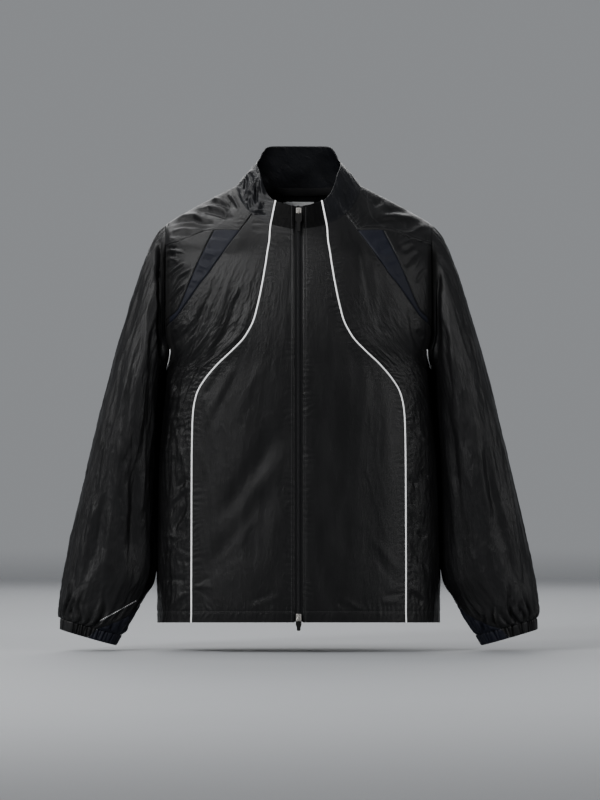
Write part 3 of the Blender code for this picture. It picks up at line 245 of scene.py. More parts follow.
seams = {
    # distance from the middle and height of each point, from the top down
    "frontPiping": (
        (0.0475, -0.0921), (0.0515, -0.1174), (0.0554, -0.1412), (0.0598, -0.1650),
        (0.0649, -0.1887), (0.0713, -0.2125), (0.0836, -0.2362), (0.1049, -0.2600),
        (0.1299, -0.2838), (0.1497, -0.3075), (0.1624, -0.3313), (0.1671, -0.3550),
        (0.1687, -0.3788), (0.1692, -0.4026), (0.1701, -0.4976), (0.1705, -0.6000),
    ),
    "raglan": (
        (0.0947, -0.0699), (0.1069, -0.0858), (0.1236, -0.1095), (0.1405, -0.1333),
        (0.1592, -0.1570), (0.1814, -0.1887), (0.1950, -0.2070), (0.2125, -0.2255),
    ),
    "insert": (
        (0.1346, -0.0680), (0.1394, -0.0778), (0.1513, -0.1016), (0.1647, -0.1301),
        (0.1771, -0.1602), (0.1925, -0.1950), (0.2125, -0.2150),
    ),
    "yoke": (
        (0.0935, -0.0685), (0.1188, -0.0675), (0.1346, -0.0680), (0.1517, -0.0700),
        (0.1790, -0.0810), (0.2125, -0.0940),
    ),
    "backYoke": ((0.0860, -0.0400), (0.1240, -0.0730), (0.1720, -0.1000), (0.2125, -0.1220)),
    "side": (
        (0.2075, -0.3020), (0.1970, -0.3220), (0.1840, -0.3480), (0.1755, -0.3800),
        (0.1715, -0.4250), (0.1705, -0.5000), (0.1708, -0.6000),
    ),
}
pipingSeam, _, _ = seamLine(seams["frontPiping"], neckX=0.0444, hemX=0.1708)
raglanSeam, raglanArm, _ = seamLine(seams["raglan"], neckX=0.0745)
insertSeam, insertArm, insertTop = seamLine(seams["insert"])
yokeSeam, yokeArm, yokeNeck = seamLine(seams["yoke"])
backYokeSeam, backYokeArm, _ = seamLine(seams["backYoke"], behind=True, neckX=0.0560)
sideSeam, _, _ = seamLine(seams["side"], behind=True, hemX=0.1712, top=(armpit, pi / 2))


def zipEdge(level):
    return turnForX(body["zipEdge"] - body["seamGap"] / 2, level)


def yokeEdge(level):
    return np.where(level > yokeNeck, raglanSeam(level), yokeSeam(level))


def sidePanelEdge(level):
    upper = np.where(level <= raglanArm, armholeTurn(level), raglanSeam(level))
    return np.where(level <= armpit, sideSeam(level), upper)


def insertEdge(level):
    middle = np.where(level >= insertTop, yokeEdge(level), insertSeam(level))
    return np.where(level <= insertArm, armholeTurn(level), middle)


def shoulderEdge(level):
    return np.where(level <= yokeArm, armholeTurn(level), yokeEdge(level))


def backEdge(level):
    upper = np.where(level <= backYokeArm, armholeTurn(level, True), backYokeSeam(level))
    return np.where(level <= armpit, sideSeam(level), upper)


def middleBack(level):
    return np.full(np.shape(level), pi)


print("seams placed")


# creases listed in millimetres of the front view: a height (below zero for a valley),
# a half width, and the points it runs through
creases = {}
creases["yokeRight"] = (
    (-4.7, 4.0, (-205, -60, -188, -52, -168, -50, -150, -56, -134, -60)),
    (4.0, 3.6, (-202, -55, -184, -47, -164, -45, -146, -51)),
    (-3.7, 3.4, (-203, -66, -186, -61, -168, -61, -148, -67, -134, -64)),
    (3.1, 3.2, (-200, -71, -182, -67, -164, -69, -148, -73)),
    (-3.7, 4.5, (-172, -40, -150, -36, -130, -42, -104, -50)),
    (3.4, 4.0, (-165, -35, -144, -30, -124, -35, -106, -44)),
    (-3.4, 4.0, (-158, -32, -138, -24, -119, -28, -104, -38)),
    (3.1, 3.6, (-140, -19, -124, -20, -108, -32)),
    (-3.1, 3.4, (-131, -14, -116, -22, -104, -34)),
    (-2.8, 3.2, (-119, -10, -108, -22, -98, -36)),
    (2.5, 3.0, (-114, -8, -103, -22, -96, -36)),
    (-3.1, 3.6, (-206, -78, -190, -74, -170, -76)),
    (-0.7, 1.4, (-138, -67, -128, -58, -117, -48, -111, -34, -109, -19, -110, -8)),
)
creases["shoulderRight"] = (
    (-4.2, 2.8, (-214, -100, -206, -95, -195, -98)),
    (3.0, 2.6, (-212, -106, -203, -101, -192, -104, -180, -106)),
    (-3.6, 2.6, (-214, -113, -206, -108, -196, -109)),
    (2.4, 2.4, (-212, -120, -202, -115, -190, -117)),
    (-2.6, 2.6, (-212, -130, -202, -125, -190, -122)),
    (-2.2, 3.6, (-208, -176, -190, -150, -168, -134)),
    (2.0, 3.4, (-206, -168, -188, -142, -166, -126)),
    (-2.0, 3.4, (-210, -152, -196, -136, -178, -124)),
    (1.8, 3.2, (-209, -143, -196, -130, -180, -118)),
    (-2.2, 3.2, (-208, -192, -194, -172, -178, -158)),
    (1.8, 3.0, (-207, -184, -192, -164, -176, -150)),
)
creases["insertRight"] = (
    (-2.0, 4.0, (-143, -76, -109, -82)),
    (1.7, 3.6, (-147, -84, -113, -90)),
    (-2.0, 4.0, (-150, -93, -120, -101)),
    (1.8, 3.6, (-155, -103, -126, -110)),
    (-2.2, 4.0, (-160, -113, -133, -121)),
    (1.6, 3.6, (-165, -123, -140, -131)),
    (-2.0, 3.8, (-170, -134, -148, -142)),
    (1.4, 3.4, (-176, -146, -156, -153)),
    (-1.6, 3.4, (-182, -158, -164, -164)),
)
creases["chestRight"] = (
    (-0.9, 1.8, (-73, -49, -62, -46, -47, -50)),
    (-0.9, 1.8, (-75, -57, -62, -58, -48, -61)),
    (-0.8, 2.0, (-78, -64, -64, -70, -50, -73)),
    (1.7, 6, (-111, -152, -123, -196, -135, -233, -146, -268, -157, -292)),
    (-2.2, 7, (-92, -158, -112, -220, -131, -255, -141, -282)),
    (1.6, 6, (-138, -165, -152, -217, -165, -255, -176, -288, -187, -325)),
    (-2.0, 5, (-127, -150, -146, -180, -155, -207, -171, -255, -182, -280)),
    (1.2, 5, (-163, -179, -174, -212, -186, -236)),
    (-2.4, 3.5, (-189, -196, -198, -203, -209, -211)),
    (1.6, 4, (-178, -214, -189, -223, -201, -231)),
    (-1.6, 4, (-173, -228, -189, -241, -200, -249)),
    (1.4, 5, (-200, -293, -206, -320, -203, -334, -190, -333, -181, -315)),
    (-1.2, 5, (-195, -288, -198, -311, -192, -320, -184, -301)),
    (-1.5, 6, (-160, -252, -174, -309, -184, -346)),
    (1.3, 6, (-149, -263, -163, -314, -176, -347)),
    (-1.3, 5, (-81, -165, -89, -204, -106, -244)),
    (1.2, 6, (-74, -180, -93, -228, -116, -263)),
)
creases["frontRight"] = (
    (-1.02, 6, (-122, -284, -136, -311, -152, -338)),
    (0.90, 7, (-98, -276, -122, -320, -139, -352, -152, -385)),
    (-0.90, 7, (-89, -279, -111, -323, -130, -358, -144, -392)),
    (0.60, 8, (-58, -279, -84, -327, -106, -379)),
    (-0.42, 16, (-15, -371, -52, -428, -100, -477, -128, -528, -136, -576)),
    (-0.60, 13, (-19, -450, -42, -498, -66, -542, -87, -571, -112, -598, -144, -615, -165, -633)),
    (0.34, 14, (-30, -419, -66, -477, -97, -530, -116, -580)),
    (-0.54, 4, (-166, -633, -152, -625, -136, -620)),
    (-0.48, 4, (-166, -639, -151, -647, -135, -658)),
    (0.42, 4, (-165, -636, -147, -636, -130, -639)),
    (0.36, 6, (-77, -668, -50, -658, -22, -649)),
    (-0.36, 5, (-84, -661, -58, -652, -30, -641)),
    (-0.55, 1.6, (-46, -44, -34, -48, -14, -51)),
    (-0.50, 1.6, (-47, -58, -30, -63, -10, -65)),
    (-0.35, 2.0, (-48, -74, -32, -72, -12, -75)),
    (-0.60, 8, (-4, -85, -14, -180, -9, -276)),
)
creases["flankRight"] = (
    (-1.8, 4, (-176, -460, -194, -479)),
    (-2.0, 4.5, (-174, -479, -198, -503, -211, -528)),
    (1.6, 4.5, (-173, -469, -192, -488, -208, -511)),
    (-1.6, 4, (-178, -503, -201, -547)),
    (1.3, 4.5, (-176, -517, -192, -546)),
    (-1.4, 5, (-217, -626, -195, -625, -176, -628)),
    (1.5, 5, (-209, -672, -192, -657, -174, -644)),
    (-1.2, 4, (-217, -587, -201, -580)),
    (1.2, 4, (-221, -561, -205, -555, -192, -561)),
    (-1.3, 4, (-211, -400, -195, -387, -179, -382)),
    (1.2, 4, (-214, -422, -198, -409)),
    (-1.1, 4, (-214, -444, -195, -431)),
    (-1.2, 4, (-213, -360, -192, -352)),
    (1.1, 4, (-213, -371, -189, -365)),
)
creases["frontLeft"] = (
    (-0.72, 9, (117, -288, 118, -320, 115, -355)),
    (-0.65, 9, (85, -244, 91, -307, 85, -387)),
    (0.65, 9, (101, -263, 105, -331, 99, -403)),
    (-0.78, 9, (155, -346, 153, -412)),
    (0.65, 10, (139, -307, 140, -387, 136, -450)),
    (-0.65, 10, (56, -180, 62, -276, 56, -387)),
    (0.65, 10, (74, -450, 80, -530, 74, -593)),
    (0.50, 7, (117, -558, 144, -592, 167, -620)),
    (-0.50, 7, (117, -576, 134, -607, 158, -633)),
    (-0.98, 5, (134, -652, 164, -647)),
    (0.78, 5, (129, -661, 164, -658)),
    (-0.98, 3.5, (62, -658, 74, -674)),
    (0.85, 4, (70, -655, 88, -666, 104, -672)),
    (-0.72, 6, (21, -593, 31, -641, 37, -669)),
    (-0.59, 8, (37, -450, 43, -530, 37, -593)),
    (-0.65, 9, (12, -66, 37, -65, 66, -58)),
)
creases["flankLeft"] = (
    (-1.7, 4, (174, -463, 190, -476)),
    (-1.5, 4, (188, -547, 204, -558)),
    (1.5, 5, (177, -633, 210, -663)),
    (-1.5, 4.5, (175, -644, 199, -666)),
    (-1.2, 4, (199, -254, 207, -287)),
    (-1.3, 5, (177, -561, 193, -593, 206, -612)),
    (1.2, 4.5, (177, -506, 196, -533)),
    (-1.2, 4, (177, -519, 193, -546)),
    (-1.2, 4, (194, -450, 206, -463)),
    (1.2, 4, (193, -387, 207, -409)),
    (-1.1, 4.5, (177, -379, 199, -403)),
    (1.1, 5, (180, -601, 206, -631)),
)
creases["chestLeft"] = (
    (-0.9, 9, (126, -120, 132, -165, 129, -215)),
    (0.9, 8, (148, -149, 158, -200, 161, -244)),
    (-1.2, 6, (174, -190, 180, -228, 190, -263)),
    (1.0, 7, (163, -180, 174, -236, 185, -284)),
    (-1.0, 8, (97, -85, 107, -149, 110, -196)),
    (-1.5, 4, (183, -200, 196, -209)),
    (-1.3, 4, (187, -228, 199, -241)),
    (-1.0, 9, (128, -195, 131, -236)),
)
creases["yokeLeft"] = (
    (-2.6, 6, (136, -41, 155, -38, 177, -42)),
    (2.6, 6, (124, -50, 148, -47, 180, -50, 199, -60)),
    (-2.6, 6, (117, -57, 142, -55, 171, -60)),
    (-2.4, 5, (145, -68, 167, -63, 193, -69)),
    (2.1, 5, (167, -76, 190, -66, 209, -63)),
    (-2.9, 3.5, (177, -90, 188, -82)),
    (2.4, 3.5, (187, -95, 199, -82)),
    (-2.6, 4, (199, -95, 210, -79)),
    (-2.1, 6, (117, -28, 136, -22)),
)
creases["shoulderLeft"] = (
    (1.5, 5, (161, -96, 183, -82)),
    (-1.3, 5, (164, -107, 187, -92)),
    (1.6, 5, (180, -133, 199, -104)),
    (-1.4, 5, (167, -130, 188, -104)),
    (-1.5, 4, (187, -155, 204, -130)),
)
creases["insertLeft"] = (
    (-0.8, 6, (112, -82, 143, -80)),
    (-0.8, 6, (124, -102, 151, -97)),
    (0.6, 6, (117, -92, 147, -88)),
    (-0.8, 6, (138, -122, 159, -116)),
    (0.6, 6, (132, -112, 156, -107)),
    (-0.8, 6, (153, -141, 169, -135)),
)
creases["collarRight"] = (
    (2.8, 2.6, (-63, 19, -76, 0, -86, -12)),
    (2.4, 3.0, (-62, 16, -60, 0, -56, -13)),
    (-3.6, 2.4, (-68, 6, -69, -20, -66, -28)),
    (2.6, 2.0, (-74, -2, -79, -16, -78, -41)),
    (2.0, 2.0, (-71, -6, -72, -22, -70, -32)),
    (-3.4, 2.6, (-75, -5, -81, -15, -85, -24)),
    (-3.4, 2.6, (-84, 20, -86, 8, -88, -5)),
    (1.6, 2.4, (-72, 31, -82, 20, -92, 6)),
    (1.2, 2.8, (-92, 4, -93, -12, -90, -28)),
    (-2.0, 2.0, (-67, 36, -67, 26, -64, 20)),
    (-2.6, 2.2, (-58, -22, -60, -30, -63, -38)),
    (-2.4, 2.0, (-76, -47, -64, -42, -52, -44)),
    (2.0, 2.0, (-74, -43, -64, -37, -55, -38)),
    (-2.0, 2.2, (-79, 24, -76, 14, -74, 4)),
)
creases["collarLeft"] = (
    (-1.6, 4, (74, 2, 77, -22, 83, -41)),
    (1.4, 4, (85, 4, 88, -19, 94, -36)),
    (-1.3, 4, (96, -9, 99, -27, 101, -41)),
    (1.2, 4, (62, -15, 69, -31, 82, -47)),
)
creases["sleeveRight"] = (
    (-7.5, 4.5, (-222, -84, -225, -104, -223, -126, -220, -152)),
    (2.4, 3.5, (-236, -80, -228, -70, -219, -68)),
    (-9.0, 6, (-224, -92, -225, -112, -223, -135, -219, -180, -218, -240, -217, -296)),
    (-3.0, 6, (-251, -155, -260, -192, -267, -217, -273, -252)),
    (-2.4, 7, (-270, -228, -278, -258, -287, -300, -295, -339, -302, -379)),
    (-2.8, 6, (-249, -234, -260, -273, -267, -309, -271, -358, -278, -403)),
    (2.0, 7, (-262, -228, -270, -276, -279, -323, -286, -371)),
    (2.4, 6, (-236, -180, -243, -227, -244, -261, -243, -301)),
    (-2.2, 6, (-232, -209, -235, -252, -235, -295, -238, -339)),
    (1.8, 6, (-240, -101, -244, -133, -248, -155)),
    (-1.6, 5, (-257, -130, -262, -157, -270, -180)),
    (-2.6, 7, (-295, -353, -311, -404, -322, -461, -332, -501, -341, -557, -348, -596)),
    (-2.2, 6, (-263, -371, -263, -409, -273, -428, -286, -461)),
    (-4.0, 8, (-262, -403, -268, -466, -263, -517, -268, -566, -271, -620)),
    (2.2, 8, (-281, -395, -284, -441, -294, -480, -306, -498)),
    (-2.2, 7, (-314, -490, -318, -531, -319, -566, -329, -612)),
    (2.0, 7, (-300, -498, -303, -546, -306, -596, -310, -641)),
    (2.0, 7, (-248, -403, -251, -450, -249, -498, -254, -546)),
    (-1.6, 6, (-236, -387, -238, -434, -240, -482)),
    (1.8, 6, (-329, -498, -338, -546, -348, -593, -353, -641)),
    (-1.8, 5, (-351, -569, -359, -609, -362, -647)),
    (-1.6, 6, (-284, -530, -289, -577, -290, -625)),
    (1.5, 6, (-286, -307, -297, -355, -306, -396)),
    (-2.6, 3.0, (-341, -697, -347, -653)),
    (-2.8, 3.2, (-331, -698, -318, -655, -314, -628)),
    (-1.8, 2.8, (-356, -688, -360, -653)),
    (-1.8, 2.6, (-364, -686, -367, -650)),
)
creases["sleeveLeft"] = (
    (-8.0, 6, (223, -98, 224, -118, 221, -145, 218, -190, 217, -240, 217, -296)),
    (-2.6, 7, (253, -158, 263, -196, 269, -236)),
    (-2.2, 7, (271, -228, 280, -268, 290, -315, 298, -355, 304, -390)),
    (-2.4, 7, (249, -252, 260, -295, 268, -339, 274, -387)),
    (1.8, 7, (261, -244, 272, -292, 282, -339, 288, -387)),
    (2.0, 6, (236, -180, 242, -228, 245, -276, 245, -314)),
    (-2.0, 6, (231, -212, 234, -257, 237, -301, 241, -342)),
    (1.6, 6, (239, -104, 245, -136, 249, -161)),
    (-1.5, 5, (258, -127, 263, -155, 269, -177)),
    (-2.4, 7, (298, -353, 312, -404, 323, -460, 334, -504, 342, -555, 349, -596)),
    (-2.0, 6, (264, -377, 266, -412, 276, -431, 288, -463)),
    (-3.6, 8, (296, -384, 304, -450, 314, -517, 323, -584)),
    (2.0, 8, (282, -403, 288, -450, 298, -495, 307, -530)),
    (1.8, 7, (311, -498, 317, -546, 323, -596, 326, -641)),
    (1.8, 7, (250, -403, 255, -450, 261, -498, 268, -546)),
    (-1.6, 6, (239, -396, 244, -438, 250, -482)),
    (1.6, 6, (333, -498, 341, -546, 349, -593, 353, -641)),
    (-1.8, 5, (353, -569, 360, -609, 361, -647)),
    (-1.6, 6, (285, -533, 290, -580, 295, -625)),
    (-2.4, 3.0, (338, -697, 343, -655)),
    (-2.6, 3.2, (326, -699, 317, -660, 315, -633)),
    (-1.8, 2.8, (352, -690, 356, -655)),
)
# on the back, seen through from the front: x is still the wearer's left
creases["back"] = (
    (-2.2, 6, (-188, -150, -160, -190, -128, -235, -95, -270)),
    (1.8, 7, (-178, -135, -146, -176, -112, -222, -84, -250)),
    (-1.8, 5, (-196, -185, -178, -222, -152, -262, -140, -300)),
    (2.2, 7, (186, -140, 158, -178, 126, -222, 100, -262)),
    (-2.2, 6, (194, -165, 168, -205, 136, -248, 108, -285)),
    (-1.6, 5, (200, -205, 184, -240, 166, -272)),
    (-1.6, 8, (-40, -60, -20, -110, 4, -160, 8, -215)),
    (1.4, 8, (34, -58, 22, -112, 30, -170)),
    (-2.4, 9, (-92, -330, -110, -400, -128, -480, -134, -560, -150, -630)),
    (2.2, 9, (-66, -320, -84, -396, -98, -470, -108, -560, -118, -640)),
    (-2.0, 10, (-30, -350, -40, -430, -36, -520, -44, -620)),
    (1.8, 10, (2, -330, -6, -420, 0, -510, -8, -610)),
    (-2.2, 9, (42, -340, 50, -430, 46, -520, 56, -630)),
    (2.0, 10, (78, -330, 92, -420, 98, -520, 110, -640)),
    (-2.2, 8, (118, -370, 132, -450, 138, -540, 152, -640)),
    (1.6, 7, (150, -330, 158, -410, 162, -480)),
    (-1.6, 6, (-160, -350, -166, -420, -160, -500)),
    (1.8, 5, (-168, -470, -140, -500, -118, -540)),
    (-1.8, 5, (166, -520, 142, -556, 120, -600)),
    (1.4, 6, (-100, -640, -60, -655, -20, -648)),
    (-1.4, 6, (60, -655, 96, -640, 130, -652)),
)


# height of the creases at places of the front view
def pressCreases(x, z, rows):
    total = np.zeros(x.shape)
    for depth, width, flat in rows:
        points = np.array(flat, float).reshape(-1, 2) * mm
        reach = width * mm
        near = ((x > points[:, 0].min() - 4 * reach) & (x < points[:, 0].max() + 4 * reach)
                & (z > points[:, 1].min() - 4 * reach) & (z < points[:, 1].max() + 4 * reach))
        if not near.any():
            continue
        px, pz = x[near], z[near]
        runs = length(np.diff(points, axis=0))
        before = np.concatenate([[0], np.cumsum(runs)])
        best = np.full(px.shape, 1e9)
        along = np.zeros(px.shape)
        hand = np.zeros(px.shape)
        for number, run in enumerate(runs):
            a, b = points[number], points[number + 1]
            stepX, stepZ = (b - a) / run
            t = np.clip((px - a[0]) * stepX + (pz - a[1]) * stepZ, 0, run)
            offX, offZ = px - a[0] - t * stepX, pz - a[1] - t * stepZ
            gap = np.hypot(offX, offZ)
            closer = gap < best
            best = np.where(closer, gap, best)
            along = np.where(closer, before[number] + t, along)
            hand = np.where(closer, np.sign(offX * stepZ - offZ * stepX), hand)
        share = along / before[-1]
        ends = fade(share, -0.05, 0.3) * (1 - fade(share, 0.7, 1.05))
        sharper = reach * np.where(hand > 0, 0.7, 1.2)      # one flank is steeper
        total[near] += depth * mm * ends * np.exp(-(best / sharper) ** 2)
    return total


# soft unevenness of a given seed, between about -1 and 1
def drift(u, v, seed):
    size = 128
    angles = np.random.default_rng(seed).uniform(0, 2 * pi, (size, size))
    gx, gy = np.cos(angles), np.sin(angles)
    iu, iv = np.floor(u).astype(int), np.floor(v).astype(int)
    fu, fv = u - iu, v - iv
    su, sv = fu ** 3 * (fu * (fu * 6 - 15) + 10), fv ** 3 * (fv * (fv * 6 - 15) + 10)

    def corner(du, dv):
        a, b = (iu + du) % size, (iv + dv) % size
        return gx[a, b] * (fu - du) + gy[a, b] * (fv - dv)

    low = corner(0, 0) * (1 - su) + corner(1, 0) * su
    high = corner(0, 1) * (1 - su) + corner(1, 1) * su
    return 1.6 * (low * (1 - sv) + high * sv)


# crinkles of thin dense cloth: sharp little ridges, longer along v than across it
def crinkle(u, v, size, stretch, seed):
    wander = drift(u / (4 * size), v / (4 * size * stretch), seed + 50)
    across = u / size + 0.9 * wander
    along = v / (size * stretch) + 0.4 * wander
    first = np.clip(1 - np.abs(drift(across, along, seed)) * 1.9, 0, 1) ** 1.5
    second = np.clip(1 - np.abs(drift(across * 2.1 + 5, along * 2.1, seed + 1)) * 1.9, 0, 1) ** 1.5
    return first * 0.75 + second * 0.35 - 0.40


# gathers beside a seam: s runs along it, d away from it
def puckers(s, d, pitch, reach, seed):
    beat = s / pitch + 0.7 * drift(s / (pitch * 3), d / (reach * 2), seed)
    strong = 0.55 + 0.6 * drift(s / (pitch * 4.3), d * 0 + 0.5, seed + 7)
    lean = 0.8 * d / reach * drift(s / (pitch * 5), d * 0 + 2.5, seed + 9)
    wave = np.sin(2 * pi * (beat + lean))
    near = np.exp(-(d / reach) ** 1.4) * fade(d, -0.0006, 0.0035)
    return wave * strong * near


# in front, below the shoulder, the armhole's seam is drawn back into a deep fold, painted near
# black as shade and made dull
armholeFold = {"depth": 6.5 * mm, "reach": 4.0 * mm, "shadeFrom": 5 * mm, "shadeTo": 10 * mm}


def foldPlace(points):
    x, y, z = np.moveaxis(np.asarray(points, float), -1, 0)
    scoop = body["scoopDepth"] * np.exp(-((z - body["scoopZ"]) / body["scoopHeight"]) ** 2)
    gap = np.abs(np.abs(x) - (body["armholeX"] - scoop))
    here = (1 - fade(z, -0.112, -0.080)) * fade(z, -0.300, -0.272) * fade(-y, -0.01, 0.02)
    return gap, here


def foldedBack(points):
    gap, here = foldPlace(points)
    back = armholeFold["depth"] * here * np.exp(-gap / armholeFold["reach"])
    return points + back[..., None] * np.array([0.0, 1.0, 0.0])


sampleStep = 4      # the lining side has every fourth row and column
allPieces = []


def lowest(values, reach):
    for axis in (0, 1):
        grown = np.pad(values, [(reach, reach) if a == axis else (0, 0) for a in (0, 1)], "edge")
        size = values.shape[axis]
        values = np.min([np.take(grown, range(k, k + size), axis) for k in range(2 * reach + 1)],
                        axis=0)
    return values


def addMesh(name, points, faces, material, uvs=None, sharp=60):
    mesh = bpy.data.meshes.new(name)
    mesh.from_pydata(np.asarray(points).tolist(), [], faces)
    mesh.validate()
    if uvs is not None:
        layer = mesh.uv_layers.new(name="cloth")
        corners = np.zeros(len(mesh.loops), dtype=np.int32)
        mesh.loops.foreach_get("vertex_index", corners)
        layer.data.foreach_set("uv", np.asarray(uvs)[corners].astype(np.float32).ravel())
    mesh.shade_smooth()
    mesh.set_sharp_from_angle(angle=math.radians(sharp))
    piece = bpy.data.objects.new(name, mesh)
    bpy.context.scene.collection.objects.link(piece)
    mesh.materials.append(material)
    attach(piece, "jacket")
    allPieces.append(piece)
    return piece


# a sewn piece of cloth: a fine outer face, a plainer inner one, and the edge between them
def addCloth(name, grid, height, material, flipped=False, wall=1.0 * mm, inner=None):
    bare, normal = foldedBack(grid["points"]), grid["normals"]
    outer = bare + normal * height[..., None]
    if inner is None:
        step = sampleStep
        sunk = lowest(height, step) - wall
        inside = (bare + normal * sunk[..., None])[::step, ::step]
    else:
        step = 1
        inside = inner
    rows, columns = height.shape
    index = np.arange(rows * columns).reshape(rows, columns)
    innerIndex = rows * columns + np.arange(inside.shape[0] * inside.shape[1])
    innerIndex = innerIndex.reshape(inside.shape[:2])

    def quads(grid, turned):
        corners = [grid[:-1, :-1], grid[:-1, 1:], grid[1:, 1:], grid[1:, :-1]]
        if turned:
            corners.reverse()
        return np.stack(corners, axis=-1).reshape(-1, 4).tolist()

    faces = quads(index, flipped) + quads(innerIndex, not flipped)

    def border(grid):
        return np.concatenate([grid[0, :-1], grid[:-1, -1], grid[-1, :0:-1], grid[:0:-1, 0]])

    outerLoop, innerLoop = border(index).tolist(), border(innerIndex).tolist()
    outerLoop.append(outerLoop[0])
    innerLoop.append(innerLoop[0])
    half = (step + 1) // 2
    for number in range(len(innerLoop) - 1):
        a, b = innerLoop[number], innerLoop[number + 1]
        for part in range(step):
            c, d = outerLoop[number * step + part], outerLoop[number * step + part + 1]
            faces.append([d, c, a if part < half else b])
        faces.append([outerLoop[number * step + half], a, b])
    if flipped:
        faces[-(len(innerLoop) - 1) * (step + 1):] = [
            face[::-1] for face in faces[-(len(innerLoop) - 1) * (step + 1):]]
    uv = np.stack([grid["across"], grid["along"]], axis=-1)
    uvs = np.concatenate([uv.reshape(-1, 2), uv[::step, ::step].reshape(-1, 2)])
    points = np.concatenate([outer.reshape(-1, 3), inside.reshape(-1, 3)])
    piece = addMesh(name, points, faces, material, uvs)
    # painted shade: a mask, strongest deep in the armhole's fold, by which the material paints the
    # cloth near black and dulls it
    gap, here = foldPlace(points)
    paintedShadeAndDull = here * (1 - fade(gap, armholeFold["shadeFrom"], armholeFold["shadeTo"]))
    deep = piece.data.attributes.new("paintedShadeAndDull", "FLOAT", "POINT")
    deep.data.foreach_set("value", paintedShadeAndDull.astype(np.float32))
    grid["outer"] = outer
    return piece


# arc lengths of a grid of points, and how far each one is from the grid's four edges
def measure(grid):
    points = grid["points"]
    across = np.zeros(points.shape[:2])
    across[:, 1:] = np.cumsum(length(np.diff(points, axis=1)), axis=1)
    along = np.zeros(points.shape[:2])
    along[1:] = np.cumsum(length(np.diff(points, axis=0)), axis=0)

    def slant(column, beside):
        edge = np.gradient(points[:, column], axis=0)
        row = points[:, beside] - points[:, column]
        return length(np.cross(edge, row)) / np.maximum(length(edge) * length(row), 1e-12)

    grid["across"] = across
    grid["along"] = along
    grid["fromStart"] = across * np.maximum(slant(0, 1), 0.25)[:, None]
    grid["fromEnd"] = (across[:, -1:] - across) * np.maximum(slant(-1, -2), 0.25)[:, None]
    grid["startRun"] = np.repeat(along[:, :1], points.shape[1], axis=1)
    grid["endRun"] = np.repeat(along[:, -1:], points.shape[1], axis=1)
    grid["fromBottom"] = along
    grid["fromTop"] = along[-1:] - along
    a, b = points[1:, 1:] - points[:-1, :-1], points[1:, :-1] - points[:-1, 1:]
    grid["area"] = float(length(np.cross(a, b)).sum() / 2)
    grid["size"] = (float(across[:, -1].max()), float(along[-1].max()))
    return grid


def seamRoom(turnAt, level, distance):
    low, high = np.maximum(level - 0.04, 0), np.minimum(level + 0.04, neck)
    along = bodyPoint(turnAt(high), high) - bodyPoint(turnAt(low), low)
    turn = turnAt(level)
    around = bodyPoint(turn + 0.003, level) - bodyPoint(turn - 0.003, level)
    slant = length(np.cross(along, around)) / (length(along) * length(around))
    return distance / np.maximum(slant, 0.35) / (length(around) / 0.006)


def times4(count):
    return max(4, int(round(count / 4)) * 4)


# rows of a panel, evenly spaced between the levels where its edges have corners
def panelLevels(corners, startAt, endAt, spacing):
    levels = [corners[0]]
    for low, high in zip(corners, corners[1:]):
        fine = np.linspace(low, high, 60)
        turn = (startAt(fine) + endAt(fine)) / 2
        runs = runAlong(bodyPoint(turn, fine))
        count = times4(runs[-1] / spacing)
        levels += list(np.interp(np.linspace(0, runs[-1], count + 1)[1:], runs, fine))
    return np.array(levels)


# an edge's turns, moved in by half the gap of its seam
def sewnEdge(turnAt, levels, inward):
    return turnAt(levels) + inward * seamRoom(turnAt, levels, body["seamGap"] / 2)


# turns that lie evenly along the cloth between two edges, a row for each level
def evenTurns(levels, first, last, columns=None, spacing=None):
    steps = np.linspace(0, 1, 97)       # measured finely first, then spaced out evenly
    fine = first[:, None] + (last - first)[:, None] * steps
    runs = np.cumsum(length(np.diff(bodyPoint(fine, levels[:, None]), axis=1)), axis=1)
    runs = np.concatenate([np.zeros((len(levels), 1)), runs], axis=1)
    shares = np.linspace(0, 1, (columns or times4(runs[:, -1].max() / spacing)) + 1)
    return np.array([np.interp(shares * run[-1], run, row) for run, row in zip(runs, fine)])


# turns past the middle of the back as turns of the near half, and the mirror for each
def nearHalf(turns, side=1):
    over, ones = turns > pi, np.ones(turns.shape)
    return np.where(over, 2 * pi - turns, turns), np.stack([ones * np.where(over, -side, side),
                                                            ones, ones], -1)


def bodyGrid(turns, levels, side=1):
    levels = np.repeat(levels[:, None], turns.shape[1], axis=1)
    near, hand = nearHalf(turns, side)
    return measure({"turn": turns, "level": levels, "side": side,
                    "points": bodyPoint(near, levels) * hand,
                    "normals": bodyNormal(near, levels) * hand})


def panelGrid(corners, startAt, endAt, side, spacing=2.2 * mm):
    levels = panelLevels(corners, startAt, endAt, spacing)
    turns = evenTurns(levels, sewnEdge(startAt, levels, 1), sewnEdge(endAt, levels, -1),
                      spacing=spacing)
    return bodyGrid(turns, levels, side)


def newMaterial(name):
    material = bpy.data.materials.new(name)
    material.use_nodes = True
    tree = material.node_tree
    shader = next(node for node in tree.nodes if node.type == "BSDF_PRINCIPLED")
    return material, tree, shader


# gives a node's inputs plain values, or what other nodes put out
def feed(tree, node, values):
    for key, value in values.items():
        if isinstance(value, bpy.types.NodeSocket):
            tree.links.new(value, node.inputs[key])
        else:
            node.inputs[key].default_value = value


def addNode(tree, kind, values, out=0, **settings):
    made = tree.nodes.new(kind)
    for key, value in settings.items():
        setattr(made, key, value)
    feed(tree, made, values)
    return made.outputs[out]


def mathNode(tree, operation, *values):
    return addNode(tree, "ShaderNodeMath", dict(enumerate(values)), operation=operation)


def spreadNode(tree, value, low, high, least=0.0, most=1.0, **settings):
    return addNode(tree, "ShaderNodeMapRange", {"Value": value, "From Min": low, "From Max": high,
                                                "To Min": least, "To Max": most}, **settings)


def mixNode(tree, factor, first, second):
    return addNode(tree, "ShaderNodeMix", {"Factor": factor, "A": first, "B": second},
                   out="Result", data_type="RGBA")


